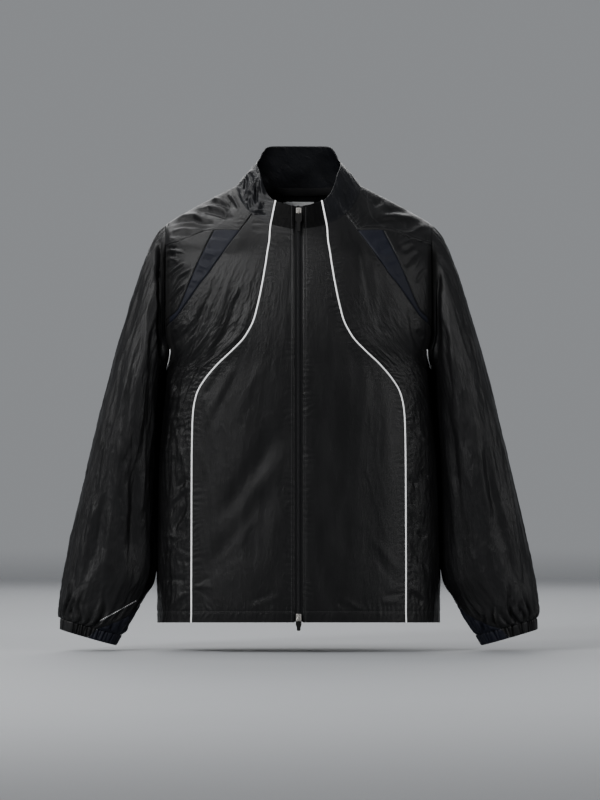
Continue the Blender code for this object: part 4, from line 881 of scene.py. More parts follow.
cloths = {
    "shell": {
        "colour": (0.0032, 0.0032, 0.0034), "worn": (0.0054, 0.0054, 0.0057),
        "roughness": (0.32, 0.44), "specular": 0.17,
        "pitch": 0.55 * mm, "weaveDepth": 0.05 * mm,
        "crinkleSize": 5.0 * mm, "crinkleDepth": 0.32 * mm, "stretch": 0.30,
    },
    "sleeve": {
        "colour": (0.0045, 0.0045, 0.0048), "worn": (0.0075, 0.0075, 0.0080),
        "roughness": (0.34, 0.46), "specular": 0.165,
        "pitch": 0.55 * mm, "weaveDepth": 0.05 * mm,
        "crinkleSize": 4.0 * mm, "crinkleDepth": 0.55 * mm, "stretch": 0.22,
    },
    # the collar front: the same black cloth, painted darker as the shade it lies in
    "neck": {
        "colour": (0.0012, 0.0012, 0.0013), "worn": (0.0020, 0.0020, 0.0021),
        "roughness": (0.46, 0.58), "specular": 0.04,
        "pitch": 0.55 * mm, "weaveDepth": 0.05 * mm,
        "crinkleSize": 6.0 * mm, "crinkleDepth": 0.36 * mm, "stretch": 0.6,
    },
    "navy": {
        "colour": (0.0036, 0.0043, 0.0082), "worn": (0.0058, 0.0068, 0.0115),
        "roughness": (0.42, 0.56), "specular": 0.13,
        "pitch": 0.7 * mm, "weaveDepth": 0.07 * mm,
        "crinkleSize": 9.0 * mm, "crinkleDepth": 0.10 * mm, "stretch": 1.0,
    },
    "collar": {
        "colour": (0.0024, 0.0026, 0.0034), "worn": (0.0042, 0.0046, 0.0062),
        "roughness": (0.30, 0.42), "specular": 0.17,
        "pitch": 0.6 * mm, "weaveDepth": 0.05 * mm,
        "crinkleSize": 6.0 * mm, "crinkleDepth": 0.40 * mm, "stretch": 0.8,
    },
    "cuff": {
        "colour": (0.0040, 0.0040, 0.0043), "worn": (0.0070, 0.0070, 0.0075),
        "roughness": (0.36, 0.48), "specular": 0.17,
        "pitch": 0.6 * mm, "weaveDepth": 0.06 * mm,
        "crinkleSize": 4.0 * mm, "crinkleDepth": 0.18 * mm, "stretch": 0.3,
    },
}


# woven nylon: threads over and under, a fine crinkle, paler where it has been rubbed, and painted
# near black as shade deep in the armhole's fold
def wovenMaterial(name, look):
    material, tree, shader = newMaterial(name)
    place = addNode(tree, "ShaderNodeUVMap", {}, uv_map="cloth")
    across = addNode(tree, "ShaderNodeSeparateXYZ", {0: place})
    turns = 2 * pi / look["pitch"]
    warp, weft = (mathNode(tree, "SINE", mathNode(tree, "MULTIPLY", run, turns))
                  for run in (across, across.node.outputs[1]))
    weave = mathNode(tree, "MULTIPLY", warp, weft)

    stretched = addNode(tree, "ShaderNodeMapping",
                        {"Vector": place, "Scale": (1, look["stretch"], 1)})
    folds = addNode(tree, "ShaderNodeTexNoise", {
        "Vector": stretched, "Scale": 1 / look["crinkleSize"], "Detail": 4.0, "Roughness": 0.62,
        "Distortion": 0.6}, out="Fac", noise_type="RIDGED_MULTIFRACTAL")
    patches = addNode(tree, "ShaderNodeTexNoise", {
        "Vector": stretched, "Scale": 38.0, "Detail": 5.0, "Roughness": 0.55,
        "Distortion": 0.2}, out="Fac")
    tint = mixNode(tree, spreadNode(tree, patches, 0.40, 0.72, 0.0, 0.6),
                   (*look["colour"], 1), (*look["worn"], 1))
    shine = spreadNode(tree, patches, 0.3, 0.7, *look["roughness"])

    # painted shade: deep in the armhole's fold the base colour is painted near black, and the cloth
    # is made dull
    paintedShadeAndDull = addNode(tree, "ShaderNodeAttribute", {}, out="Fac", attribute_name="paintedShadeAndDull")
    shadedTint = mixNode(tree, paintedShadeAndDull, tint, (0.0005, 0.0005, 0.0005, 1))
    dulled = mathNode(tree, "ADD", shine, mathNode(tree, "MULTIPLY", paintedShadeAndDull, 0.6))

    low = addNode(tree, "ShaderNodeBump", {
        "Strength": 0.8, "Distance": look["crinkleDepth"], "Height": folds})
    fine = addNode(tree, "ShaderNodeBump", {
        "Strength": 0.6, "Distance": look["weaveDepth"], "Height": weave, "Normal": low})
    feed(tree, shader, {"Specular IOR Level": look["specular"], "Base Color": shadedTint,
                        "Roughness": dulled, "Normal": fine})
    return material


shellCloth = wovenMaterial("blackShellCloth", cloths["shell"])
sleeveCloth = wovenMaterial("blackSleeveCloth", cloths["sleeve"])
shadedCollarFrontCloth = wovenMaterial("paintedShadeCollarFrontCloth", cloths["neck"])
navyCloth = wovenMaterial("navyInsertCloth", cloths["navy"])
collarCloth = wovenMaterial("collarCloth", cloths["collar"])
cuffCloth = wovenMaterial("elasticCuffCloth", cloths["cuff"])


# smooth coated or moulded finishes, with faint marks from handling
def plainFinish(name, colour, rubbed, roughness, metallic=0.0, specular=0.5, grain=900.0,
                grainDepth=0.02 * mm, sheen=0.0):
    material, tree, shader = newMaterial(name)
    place = addNode(tree, "ShaderNodeTexCoord", {}, out="Object")
    marks = addNode(tree, "ShaderNodeTexNoise",
                    {"Vector": place, "Scale": grain * 0.25, "Detail": 4.0}, out="Fac")
    fine = addNode(tree, "ShaderNodeTexNoise",
                   {"Vector": place, "Scale": grain, "Detail": 3.0}, out="Fac")
    bump = addNode(tree, "ShaderNodeBump", {
        "Strength": 0.5, "Distance": grainDepth, "Height": fine})
    feed(tree, shader, {
        "Metallic": metallic, "Specular IOR Level": specular, "Sheen Weight": sheen,
        "Base Color": mixNode(tree, spreadNode(tree, marks, 0.42, 0.70), (*colour, 1),
                              (*rubbed, 1)),
        "Roughness": spreadNode(tree, marks, 0.3, 0.7, *roughness), "Normal": bump})
    return material


pipingFinish = plainFinish("whitePiping", (0.94, 0.94, 0.94), (0.88, 0.88, 0.88), (0.36, 0.48),
                           grain=2600.0, grainDepth=0.03 * mm, sheen=0.2)
tapeFinish = plainFinish("zipTape", (0.004, 0.004, 0.0045), (0.008, 0.008, 0.0085), (0.70, 0.85),
                         specular=0.12, grain=2400.0, grainDepth=0.08 * mm)
coilFinish = plainFinish("zipCoil", (0.006, 0.006, 0.0065), (0.010, 0.010, 0.011), (0.34, 0.46),
                         specular=0.25, grain=1500.0)
metalFinish = plainFinish("zipMetal", (0.46, 0.44, 0.41), (0.60, 0.57, 0.53), (0.24, 0.38),
                          metallic=1.0, grain=1800.0, grainDepth=0.01 * mm)
rubberFinish = plainFinish("pullRubber", (0.003, 0.003, 0.003), (0.005, 0.005, 0.005),
                           (0.50, 0.66), specular=0.10, grain=1700.0, grainDepth=0.04 * mm)
labelFinish = plainFinish("neckLabel", (0.56, 0.56, 0.57), (0.61, 0.61, 0.62), (0.62, 0.80),
                          specular=0.3, grain=2200.0, grainDepth=0.08 * mm)
threadFinish = plainFinish("blackThread", (0.010, 0.010, 0.011), (0.019, 0.019, 0.020),
                           (0.40, 0.55), specular=0.35, grain=3000.0, grainDepth=0.03 * mm)
reflectiveFinish = plainFinish("reflectivePrint", (0.92, 0.92, 0.93), (0.86, 0.86, 0.87),
                               (0.30, 0.45), grain=2600.0)
print("finishes ready")


wrinkles = {
    # crinkle heights in millimetres: long drags, middle folds, fine crinkle
    "sleeveRight": (2.5, 0.75, 0.40),
    "sleeveLeft": (1.8, 0.70, 0.36),
    "chestRight": (1.25, 0.60, 0.32),
    "chestLeft": (0.42, 0.20, 0.12),
    "frontRight": (0.42, 0.20, 0.12),
    "frontLeft": (0.24, 0.12, 0.07),
    "collarFront": (0.42, 0.20, 0.12),
    "side": (1.1, 0.65, 0.35),
    "back": (0.95, 0.50, 0.28),
    "yoke": (0.40, 0.30, 0.20),
    "insert": (0.20, 0.12, 0.07),
    "collar": (0.75, 0.45, 0.20),
}


def cloudHeight(u, v, amounts, seed):
    long, middle, fine = amounts
    return mm * (long * crinkle(u, v, 24 * mm, 5.0, seed)
                 + middle * crinkle(u, v, 10 * mm, 3.0, seed + 2)
                 + fine * crinkle(u, v, 5 * mm, 2.2, seed + 4))


# how strongly wrinkles stand at a place: they are held flat where they run into a seam
def calm(grid, edges, least=0.25, reach=9 * mm):
    still = np.ones(grid["points"].shape[:2])
    for edge in edges:
        floor = 0.0 if edge == "fromTop" else least
        still *= floor + (1 - floor) * fade(grid[edge], 0, reach)
    return still


def rolled(grid, edges, depth=1.15 * mm, reach=1.25 * mm):
    total = np.zeros(grid["points"].shape[:2])
    for edge in edges:
        share = 0.0 if edge == "fromTop" else 1.0       # the neck seam lies flush
        total += share * depth * np.exp(-(grid[edge] / reach) ** 2)
    return np.minimum(total, depth * 1.1)


def groove(distance, at, depth=0.35 * mm, reach=1.0 * mm):
    return -depth * np.exp(-((distance - at) / reach) ** 2)


# how far a place faces the front (or the back), for creases laid out in that view
def facing(grid, behind=False):
    toward = grid["normals"][..., 1] * (1 if behind else -1)
    return np.clip(toward * 3.0, 0, 1)


def handCreases(grid, names, behind=False):
    points = grid["points"]
    x = points[..., 0] + 1.5 * mm * drift(points[..., 0] / 0.03, points[..., 2] / 0.03, 91)
    z = points[..., 2] + 1.5 * mm * drift(points[..., 0] / 0.03, points[..., 2] / 0.03, 92)
    total = np.zeros(x.shape)
    for name in names:
        total += pressCreases(x, z, creases[name])
    return total * facing(grid, behind)


# the cloth is drawn smooth over the collarbones, and crinkles lower down
def tautAbove(grid):
    return 0.15 + 0.85 * fade(-grid["points"][..., 2], 0.115, 0.175)


def panelHeight(grid, names, amounts, seed, edges, behind=False, gathers=()):
    held = calm(grid, edges)
    height = -bigFolds(grid["points"])
    height += held * handCreases(grid, names, behind)
    taut = 1 if behind else tautAbove(grid)
    height += held * taut * cloudHeight(grid["across"] + seed * 0.37, grid["along"], amounts, seed)
    for edge, run, pitch, reach, tall in gathers:
        height += tall * mm * puckers(grid[run], grid[edge], pitch * mm, reach * mm, seed + 20)
    return height - rolled(grid, edges)


hem = {"line": 17 * mm, "pitch": 8 * mm, "lineDepth": 0.35 * mm}


def hemHeight(grid, tall, reach, seed):
    above = grid["fromBottom"]
    gathers = puckers(grid["across"], np.abs(above - hem["line"]), hem["pitch"], reach, seed)
    return groove(above, hem["line"], hem["lineDepth"]) + tall * gathers


panels = {}
bothSides = ((1, "Left"), (-1, "Right"))


# builds a piece, hides the solids it stands in for, and keeps its grid for the trims;
# the whole argument is not used
def sew(name, grid, height, material, nodes, slot, flipped=False, held="stretched", tall=None,
        whole=False, **shape):
    piece = addCloth(name, grid, height, material, flipped, **shape)
    if nodes:
        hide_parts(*nodes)
    panels[name] = grid


# gathers beside a seam: edge, run along it, then pitch, reach and height in millimetres
frontPanel = {
    "gathers": (("fromStart", "startRun", 9, 13, 0.45), ("fromEnd", "endRun", 8.5, 12, 0.50)),
    "hemTall": 0.75 * mm, "hemReach": 12 * mm,
    "zipLine": 4.8 * mm, "zipLineDepth": 0.30 * mm,
}
sidePanel = {
    "gathers": (("fromStart", "startRun", 8.5, 12, 0.55), ("fromEnd", "endRun", 8, 11, 0.50)),
    "hemTall": 0.75 * mm, "hemReach": 12 * mm,
    "crinkledBelow": (7.0, 8.5), "crinkle": 0.7,
}
shoulderPanels = {"spacing": 1.8 * mm, "gathers": (("fromEnd", "endRun", 8, 10, 0.5),)}

for side, hand in bothSides:
    node = hand.lower()

    # front: from the zip to the piping
    grid = panelGrid((0, neck), zipEdge, pipingSeam, side)
    height = panelHeight(grid, [f"front{hand}"], wrinkles[f"front{hand}"], 11 + side,
                         ("fromStart", "fromEnd", "fromTop"), gathers=frontPanel["gathers"])
    height += hemHeight(grid, frontPanel["hemTall"], frontPanel["hemReach"], 31 + side)
    height += groove(grid["fromStart"], frontPanel["zipLine"], frontPanel["zipLineDepth"])
    sew(f"front{hand}", grid, height, shellCloth, [f"front_{node}"], "black_cloth", side < 0)

    # side: from the piping, under the arm, to the side piping
    grid = panelGrid((0, armpit, raglanArm, neck), pipingSeam, sidePanelEdge, side)
    height = panelHeight(grid, [f"chest{hand}", f"flank{hand}"], wrinkles[f"chest{hand}"],
                         41 + side, ("fromStart", "fromEnd", "fromTop"),
                         gathers=sidePanel["gathers"])
    low = 1 - fade(grid["level"], *sidePanel["crinkledBelow"])
    height += sidePanel["crinkle"] * low * calm(grid, ("fromStart", "fromEnd")) * cloudHeight(
        grid["across"], grid["along"], wrinkles["side"], 61 + side)
    height += hemHeight(grid, sidePanel["hemTall"], sidePanel["hemReach"], 35 + side)
    sew(f"side{hand}", grid, height, shellCloth, [f"side_{node}"], "black_cloth", side < 0)

    # navy insert, from the armhole up to the yoke
    grid = panelGrid((raglanArm + 0.05, insertArm, insertTop, yokeNeck - 0.05), raglanSeam,
                     insertEdge, side, shoulderPanels["spacing"])
    height = panelHeight(grid, [f"insert{hand}"], wrinkles["insert"], 71 + side,
                         ("fromStart", "fromEnd"))
    sew(f"insert{hand}", grid, height, navyCloth, [f"insert_{node}"], "navy_cloth", side < 0)

    # shoulder front, between insert, yoke and armhole
    grid = panelGrid((insertArm + 0.05, yokeArm, insertTop - 0.05), insertSeam, shoulderEdge, side,
                     shoulderPanels["spacing"])
    height = panelHeight(grid, [f"shoulder{hand}"], wrinkles["yoke"], 81 + side,
                         ("fromStart", "fromEnd"), gathers=shoulderPanels["gathers"])
    sew(f"shoulderFront{hand}", grid, height, shellCloth, [f"shoulder_front_{node}"],
        "black_cloth", side < 0)

print("front panels done")

# puckers beside the sewn edge: height, pitch and reach
yoke = {"spacing": 2.0 * mm, "frontColumns": 52, "backColumns": 60,
        "frontPuckers": (0.55 * mm, 7.5 * mm, 12 * mm), "backPuckers": (0.40 * mm, 8 * mm, 10 * mm)}

for side, hand in bothSides:
    top = panelLevels((shoulderPoint, yokeNeck, neck), yokeEdge, backYokeSeam, yoke["spacing"])
    front = panelLevels((yokeArm + 0.04, shoulderPoint), yokeEdge, armholeTurn, yoke["spacing"])
    back = np.linspace(backYokeArm + 0.04, shoulderPoint, len(front))
    levels, backLevels = (np.concatenate([flap[:-1], top]) for flap in (front, back))
    frontTurns = evenTurns(levels, sewnEdge(yokeEdge, levels, 1), armholeTurn(levels),
                           yoke["frontColumns"])
    backTurns = evenTurns(backLevels, armholeTurn(backLevels, True),
                          sewnEdge(backYokeSeam, backLevels, -1), yoke["backColumns"])
    # the two flaps part at the armhole, so they are two cloth pieces of one cut that meet
    # along the ridge
    for part, grid, edge, run, seed in (
            ("Front", bodyGrid(frontTurns, levels, side), "fromStart", "startRun", 93),
            ("Back", bodyGrid(backTurns, backLevels, side), "fromEnd", "endRun", 95)):
        held = calm(grid, (edge, "fromTop"))
        tall, pitch, reach = yoke[f"{part.lower()}Puckers"]
        height = -bigFolds(grid["points"])
        if part == "Front":
            height += held * handCreases(grid, [f"yoke{hand}"])
        height += tall * puckers(grid[run], grid[edge], pitch, reach, seed + side)
        height += held * cloudHeight(grid["points"][..., 0], grid["points"][..., 1],
                                     wrinkles["yoke"], 97 + side)
        height -= rolled(grid, (edge, "fromTop"))
        sew(f"yoke{part}{hand}", grid, height, shellCloth, [f"yoke_{hand.lower()}"],
            "black_cloth", side < 0)

# back: one panel from side seam to side seam
backPanel = {
    "spacing": 2.4 * mm, "halfColumns": 84, "hemTall": 0.38 * mm, "hemReach": 11 * mm,
    "gathers": (("fromStart", "startRun", 8, 12, 0.40), ("fromEnd", "endRun", 8, 12, 0.40)),
}
levels = panelLevels((0, armpit, backYokeArm, neck), backEdge, middleBack, backPanel["spacing"])
half = evenTurns(levels, sewnEdge(backEdge, levels, 1), middleBack(levels),
                 backPanel["halfColumns"])
grid = bodyGrid(np.concatenate([half, (2 * pi - half[:, ::-1])[:, 1:]], axis=1), levels)
height = panelHeight(grid, ["back"], wrinkles["back"], 101, ("fromStart", "fromEnd", "fromTop"),
                     behind=True, gathers=backPanel["gathers"])
height += hemHeight(grid, backPanel["hemTall"], backPanel["hemReach"], 103)
sew("backPanel", grid, height, shellCloth, ["back"], "black_cloth")
print("back and shoulders done")


collar = {
    # rim, front to back: height for each depth
    "rim": ((-0.0840, -0.0302), (-0.0785, -0.0260), (-0.0690, -0.0212), (-0.0571, -0.0104),
            (-0.0476, 0.0020), (-0.0330, 0.0220), (-0.0050, 0.0375), (0.0150, 0.0435),
            (0.0255, 0.0490), (0.0330, 0.0595), (0.0400, 0.0665), (0.0470, 0.0685),
            (0.0580, 0.0690)),
    "halfWidth": 0.0675,
    "frontSquare": 2.0,
    "backSquare": 2.2,
    "bulge": 0.0010,
    "thickness": 2.0 * mm,
    "pipingAtNeck": 0.0444,
    "pipingAtRim": 0.0368,
    "pipingRoom": 0.0022,
    "frontColumns": 25,
    "backColumns": 289,
    "creaseShare": 1.35,
    "rimRadius": 1.6 * mm,
    "leastWall": 0.9 * mm,
}
rimTable = smoothTable([y for y, z in collar["rim"]], [z for y, z in collar["rim"]])


def rimPoint(turn):
    ahead = np.cos(turn) > 0
    depth = np.where(ahead, -collar["rim"][0][0], collar["rim"][-1][0])
    square = np.where(ahead, collar["frontSquare"], collar["backSquare"])
    reach = (np.abs(np.sin(turn) / collar["halfWidth"]) ** square
             + np.abs(np.cos(turn) / depth) ** square) ** (-1 / square)
    y = -reach * np.cos(turn)
    return np.stack([reach * np.sin(turn), y, rimTable(y)[..., 0]], axis=-1)


def collarPoint(turn, rise):
    turn, rise = np.broadcast_arrays(np.asarray(turn, float), np.asarray(rise, float))
    foot = bodyPoint(turn, np.full(turn.shape, float(neck)))
    top = rimPoint(turn)
    outward = np.stack([np.sin(turn), -np.cos(turn), np.full(turn.shape, 0.4)], axis=-1)
    share = rise[..., None]
    return foot + (top - foot) * share + outward * collar["bulge"] * 4 * share * (1 - share)


def collarNormal(turn, rise):
    around = collarPoint(turn + 0.004, rise) - collarPoint(turn - 0.004, rise)
    upward = (collarPoint(turn, np.minimum(rise + 0.02, 1))
              - collarPoint(turn, np.maximum(rise - 0.02, 0)))
    return unit(np.cross(around, upward))


def collarTurnForX(x, rise):
    x, rise = np.broadcast_arrays(np.asarray(x, float), np.asarray(rise, float))
    return solve(lambda turn: collarPoint(turn, rise)[..., 0] - x, 0, pi / 2, rise)


def collarPipingTurn(rise):
    x = collar["pipingAtNeck"] + (collar["pipingAtRim"] - collar["pipingAtNeck"]) * rise
    return collarTurnForX(x, rise)


# outer and inner face of a part of the collar; the rim is a soft fold between them
def collarPart(name, turns, rises, side, creaseNames, amounts, seed, material, node, slot):
    rise = np.repeat(rises[:, None], turns.shape[1], 1)
    near, hand = nearHalf(turns, side)
    grid = measure({"points": collarPoint(near, rise) * hand,
                    "normals": collarNormal(near, rise) * hand, "side": side})
    edges = ("fromStart", "fromEnd")
    held = calm(grid, edges, 0.4, 7 * mm) * fade(grid["fromBottom"], 0, 6 * mm)
    height = collar["creaseShare"] * held * handCreases(grid, creaseNames)
    height += held * cloudHeight(grid["across"], grid["along"], amounts, seed)
    height += 0.30 * mm * puckers(grid["across"], grid["fromBottom"], 7.5 * mm, 9 * mm, seed + 3)
    height -= rolled(grid, edges, depth=0.5 * mm)
    rim = 1 - np.clip(grid["fromTop"] / collar["rimRadius"], 0, 1)
    roundOver = 1.0 * mm * (1 - np.sqrt(1 - rim ** 2))
    lining = 0.35 * mm * drift(grid["across"] / 0.035, grid["along"] / 0.018, seed + 8)
    lining += 0.5 * mm * crinkle(grid["across"] + 0.6 * grid["along"], grid["along"] * 0.8,
                                 22 * mm, 2.6, seed + 9)
    calmInside = held * fade(grid["fromTop"], 0, 8 * mm)
    inner = height - collar["thickness"] + roundOver + calmInside * (lining - height) * 0.8
    inner = np.minimum(inner, height - collar["leastWall"])
    inside = grid["points"] + grid["normals"] * inner[..., None]
    sew(name, grid, height - roundOver, material, [node], slot, side < 0, inner=inside)


riseRows = np.concatenate([np.linspace(0, 0.955, 43), [0.968, 0.979, 0.988, 0.995, 1.0]])
seamTurn = collarPipingTurn(riseRows)
for side, hand in bothSides:
    first = collarTurnForX(body["zipEdge"], riseRows)
    last = seamTurn - collar["pipingRoom"]
    turns = first[:, None] + (last - first)[:, None] * np.linspace(0, 1, collar["frontColumns"])
    collarPart(f"collarFront{hand}", turns, riseRows, side, [f"front{hand}"],
               wrinkles["collarFront"], 111 + side, shadedCollarFrontCloth, f"collar_front_{hand.lower()}",
               "black_cloth")

first = seamTurn + collar["pipingRoom"]
turns = first[:, None] + (2 * pi - 2 * first)[:, None] * np.linspace(
    0, 1, collar["backColumns"])
collarPart("collarBack", turns, riseRows, 1, ["collarLeft", "collarRight"], wrinkles["collar"],
           121, collarCloth, "collar_back", "collar_cloth")

# a narrow tape over the neck seam inside, from zip to zip
neckTape = {"from": 11.8 * mm, "halfWidth": 6.0 * mm, "height": -2.5 * mm, "wall": 0.6 * mm,
            "columns": 241, "rows": 9}
first = float(turnForX(neckTape["from"], neck))
near, hand = nearHalf(np.linspace(first, 2 * pi - first, neckTape["columns"]))
perLevel = length(bodyPoint(near, neck - 0.2) - bodyPoint(near, float(neck))) / 0.2
perRise = length(collarPoint(near, 0.2) - collarPoint(near, 0.0)) / 0.2
steps = np.linspace(-1, 1, neckTape["rows"]) * neckTape["halfWidth"]
points = np.array([
    bodyPoint(near, neck + step / perLevel) if step < 0 else collarPoint(near, step / perRise)
    for step in steps]) * hand
low, high = bodyNormal(near, neck - 0.1) * hand, collarNormal(near, 0.1 + near * 0) * hand
share = fade(steps, -0.8 * neckTape["halfWidth"], 0.8 * neckTape["halfWidth"])[:, None, None]
grid = measure({"points": points, "normals": unit(low + (high - low) * share), "side": 1})
sew("neckTape", grid, np.full(grid["across"].shape, neckTape["height"]), tapeFinish, [],
    "black_cloth", tall=2 * neckTape["halfWidth"], whole=True, wall=neckTape["wall"])
print("collar done")


sleeve = {
    # outer and inner line in the front view, half depth, and shift towards the back
    "rows": (
        (0.2125, -0.0600, 0.2125, -0.2850, 0.0660, 0.000),
        (0.2275, -0.0765, 0.2152, -0.2910, 0.0700, 0.000),
        (0.2384, -0.0960, 0.2167, -0.2975, 0.0735, 0.000),
        (0.2496, -0.1248, 0.2178, -0.3055, 0.0765, 0.000),
        (0.2632, -0.1632, 0.2190, -0.3160, 0.0790, 0.000),
        (0.2776, -0.2112, 0.2203, -0.3300, 0.0805, -0.001),
        (0.2920, -0.2570, 0.2216, -0.3500, 0.0810, -0.002),
        (0.3048, -0.3072, 0.2218, -0.3800, 0.0800, -0.003),
        (0.3180, -0.3550, 0.2241, -0.4130, 0.0775, -0.004),
        (0.3302, -0.4050, 0.2262, -0.4500, 0.0740, -0.005),
        (0.3432, -0.4608, 0.2273, -0.4960, 0.0690, -0.006),
        (0.3565, -0.5180, 0.2278, -0.5450, 0.0630, -0.007),
        (0.3670, -0.5670, 0.2280, -0.5890, 0.0575, -0.008),
        (0.3745, -0.6060, 0.2330, -0.6260, 0.0530, -0.009),
        (0.3798, -0.6380, 0.2465, -0.6530, 0.0490, -0.010),
        (0.3828, -0.6620, 0.2590, -0.6760, 0.0460, -0.010),
        (0.3832, -0.6770, 0.2698, -0.6950, 0.0425, -0.010),
        (0.3812, -0.6876, 0.2822, -0.7146, 0.0370, -0.010),
    ),
    "cuffTop": (0.3808, -0.6882, 0.2832, -0.7152, 0.0350, -0.010),
    "cuffEnd": (0.3814, -0.7056, 0.2923, -0.7312, 0.0325, -0.010),
    "roundness": 2.15,
    "columns": 200,
    "rowCount": 264,
    # long folds: turn about the sleeve (0 inside, 90 in front), first and last row, width, height
    "folds": (
        (58, 5.0, 13.5, 13, -0.0050), (92, 3.0, 14.0, 12, 0.0030), (112, 8.0, 14.5, 10, -0.0040),
        (140, 2.0, 12.0, 13, 0.0028), (165, 7.0, 15.0, 12, -0.0030), (196, 3.0, 13.0, 13, -0.0036),
        (228, 5.0, 14.5, 12, 0.0032), (256, 4.0, 14.0, 12, -0.0045), (290, 8.0, 14.5, 11, 0.0030),
        (312, 6.0, 13.0, 12, -0.0040),
    ),
    # gathers above the cuff: turn, row where each starts, depth and half width in millimetres
    "gathers": (
        (6, 15.2, 1.6, 2.8), (19, 14.6, 2.2, 3.4), (34, 15.4, 1.5, 2.6), (48, 14.2, 2.4, 3.6),
        (61, 15.0, 1.8, 3.0), (78, 14.4, 2.2, 3.2), (93, 15.3, 1.6, 2.6), (105, 14.0, 2.6, 3.6),
        (121, 15.0, 1.9, 2.8), (134, 14.6, 2.2, 3.2), (150, 15.2, 1.6, 2.6), (163, 14.3, 2.3, 3.4),
        (179, 15.1, 1.8, 2.8), (192, 14.5, 2.2, 3.2), (208, 15.3, 1.5, 2.6), (222, 14.1, 2.5, 3.6),
        (237, 15.0, 1.8, 2.8), (250, 14.6, 2.2, 3.2), (266, 15.3, 1.6, 2.6), (281, 14.2, 2.4, 3.4),
        (296, 15.1, 1.8, 2.8), (311, 14.6, 2.2, 3.2), (327, 15.2, 1.6, 2.6), (343, 14.5, 2.2, 3.0),
    ),
    # how far the inner side lies over towards the body at each row, in millimetres
    "press": (0, 2.6, 4.0, 4.6, 5.3, 5.3, 4.8, 2.6, 2.0, 1.6, 1.8, 2.2, 3.0, 3.6, 1.0, 0, 0, 0),
    "gussetApex": 14.45,
    "gussetAtCuff": 79,
    "gussetAtEnd": 90,
    "gussetRoom": 0.0040,
    "seamRoom": 0.0012,
    "crinkleRadius": 0.062,
    "crinkleShorter": 0.62,
    # tucks in the cuff: turn and depth in millimetres
    "tucks": (
        (8, 1.6), (17, 1.2), (26, 2.0), (34, 1.4), (43, 2.2), (54, 1.5), (62, 2.3), (70, 1.6),
        (74, 2.2), (81, 1.5), (87, 2.4), (94, 2.6), (97.5, 1.6), (102, 2.4), (107, 1.8),
        (112, 2.6), (118, 2.0), (121, 2.4), (152, 2.2), (163, 1.4), (178, 2.4), (189, 1.6),
        (195, 2.2), (213, 1.5), (220, 2.5), (226, 1.6), (231, 2.4), (247, 2.0), (252, 1.4),
        (266, 2.5), (272, 1.8), (277, 2.2), (291, 1.6), (297, 2.4), (309, 1.5), (316, 2.2),
        (329, 1.6), (336, 2.3), (348, 1.8),
    ),
}
sleeveTable = smoothTable(range(18), sleeve["rows"])
pressTable = smoothTable(range(18), sleeve["press"])


def ovalPoint(rows, turn):
    outX, outZ, inX, inZ, depth, shift = np.moveaxis(np.asarray(rows, float), -1, 0)
    power = 2 / sleeve["roundness"]
    across, forward = -np.cos(turn), np.sin(turn)
    across = np.sign(across) * np.abs(across) ** power
    forward = np.sign(forward) * np.abs(forward) ** power
    x = (inX + outX) / 2 + (outX - inX) / 2 * across
    z = (inZ + outZ) / 2 + (outZ - inZ) / 2 * across
    return np.stack([x, shift - depth * forward, z], axis=-1)


# the armhole's edge, as how far each turn of the sleeve's first oval is moved to meet it
def armholeOffsets():
    levels = np.linspace(armpit, shoulderPoint, 61)
    frontTurn, rearTurn = armholeTurn(levels), armholeTurn(levels[:-1], True)
    frontLine = bodyPoint(frontTurn, levels)
    frontLine = frontLine - bodyNormal(frontTurn, levels) * bigFolds(frontLine)[:, None]
    rearLine = bodyPoint(rearTurn, levels[:-1])
    rearLine = rearLine - bodyNormal(rearTurn, levels[:-1]) * bigFolds(rearLine)[:, None]
    line = np.concatenate([frontLine, rearLine[::-1]])
    topZ, lowZ = sleeve["rows"][0][1], sleeve["rows"][0][3]
    share = np.clip((line[:, 2] - (topZ + lowZ) / 2) / ((topZ - lowZ) / 2), -1, 1)
    turn = np.arccos(np.clip(-np.sign(share) * np.abs(share) ** (sleeve["roundness"] / 2), -1, 1))
    turn[len(levels):] = 2 * pi - turn[len(levels):]
    rise = fade(line[:, 2], topZ - 0.03, topZ)
    outward = np.array([1, 0, -0.25]) * (0.00039 + 0.0006 * rise)[:, None]
    line = line + outward
    offset = line - ovalPoint(np.repeat([sleeve["rows"][0]], len(turn), 0), turn)
    bodySide = np.concatenate([bodyNormal(frontTurn, levels),
                               bodyNormal(rearTurn, levels[:-1])[::-1]])
    keep = np.concatenate([[True], np.diff(turn) > 1e-5])
    return smoothTable(turn[keep], offset[keep]), smoothTable(turn[keep], bodySide[keep])


offsetTable, armholeNormals = armholeOffsets()


def sleevePoint(turn, row):
    turn = np.mod(turn, 2 * pi)
    return ovalPoint(sleeveTable(row), turn) + offsetTable(turn) * (
        (1 - fade(row, 0, 4)) ** 2)[..., None]


def sleeveNormal(turn, row):
    around = sleevePoint(turn + 0.01, row) - sleevePoint(turn - 0.01, row)
    along = sleevePoint(turn, np.minimum(row + 0.05, 17)) - sleevePoint(
        turn, np.maximum(row - 0.05, 0))
    return unit(np.cross(along, around))


def inPlane(normal, rows):
    outX, outZ, inX, inZ, _, _ = np.moveaxis(np.asarray(rows, float), -1, 0)
    across = unit(np.stack([outX - inX, np.zeros_like(outX), outZ - inZ], axis=-1))
    flat = across * (normal * across).sum(-1)[..., None]
    flat[..., 1] += normal[..., 1]
    return unit(flat)


def longFolds(turn, row):
    total = np.zeros(np.shape(turn))
    angle = np.degrees(turn) % 360
    for at, first, last, width, tall in sleeve["folds"]:
        off = (angle - at + 180) % 360 - 180
        ends = fade(row, first, first + 2) * (1 - fade(row, last - 2, last))
        total += tall * ends * np.exp(-((off + 5 * np.sin(row * 0.9 + at)) / width) ** 2)
    return total * fade(row, 0.5, 3)


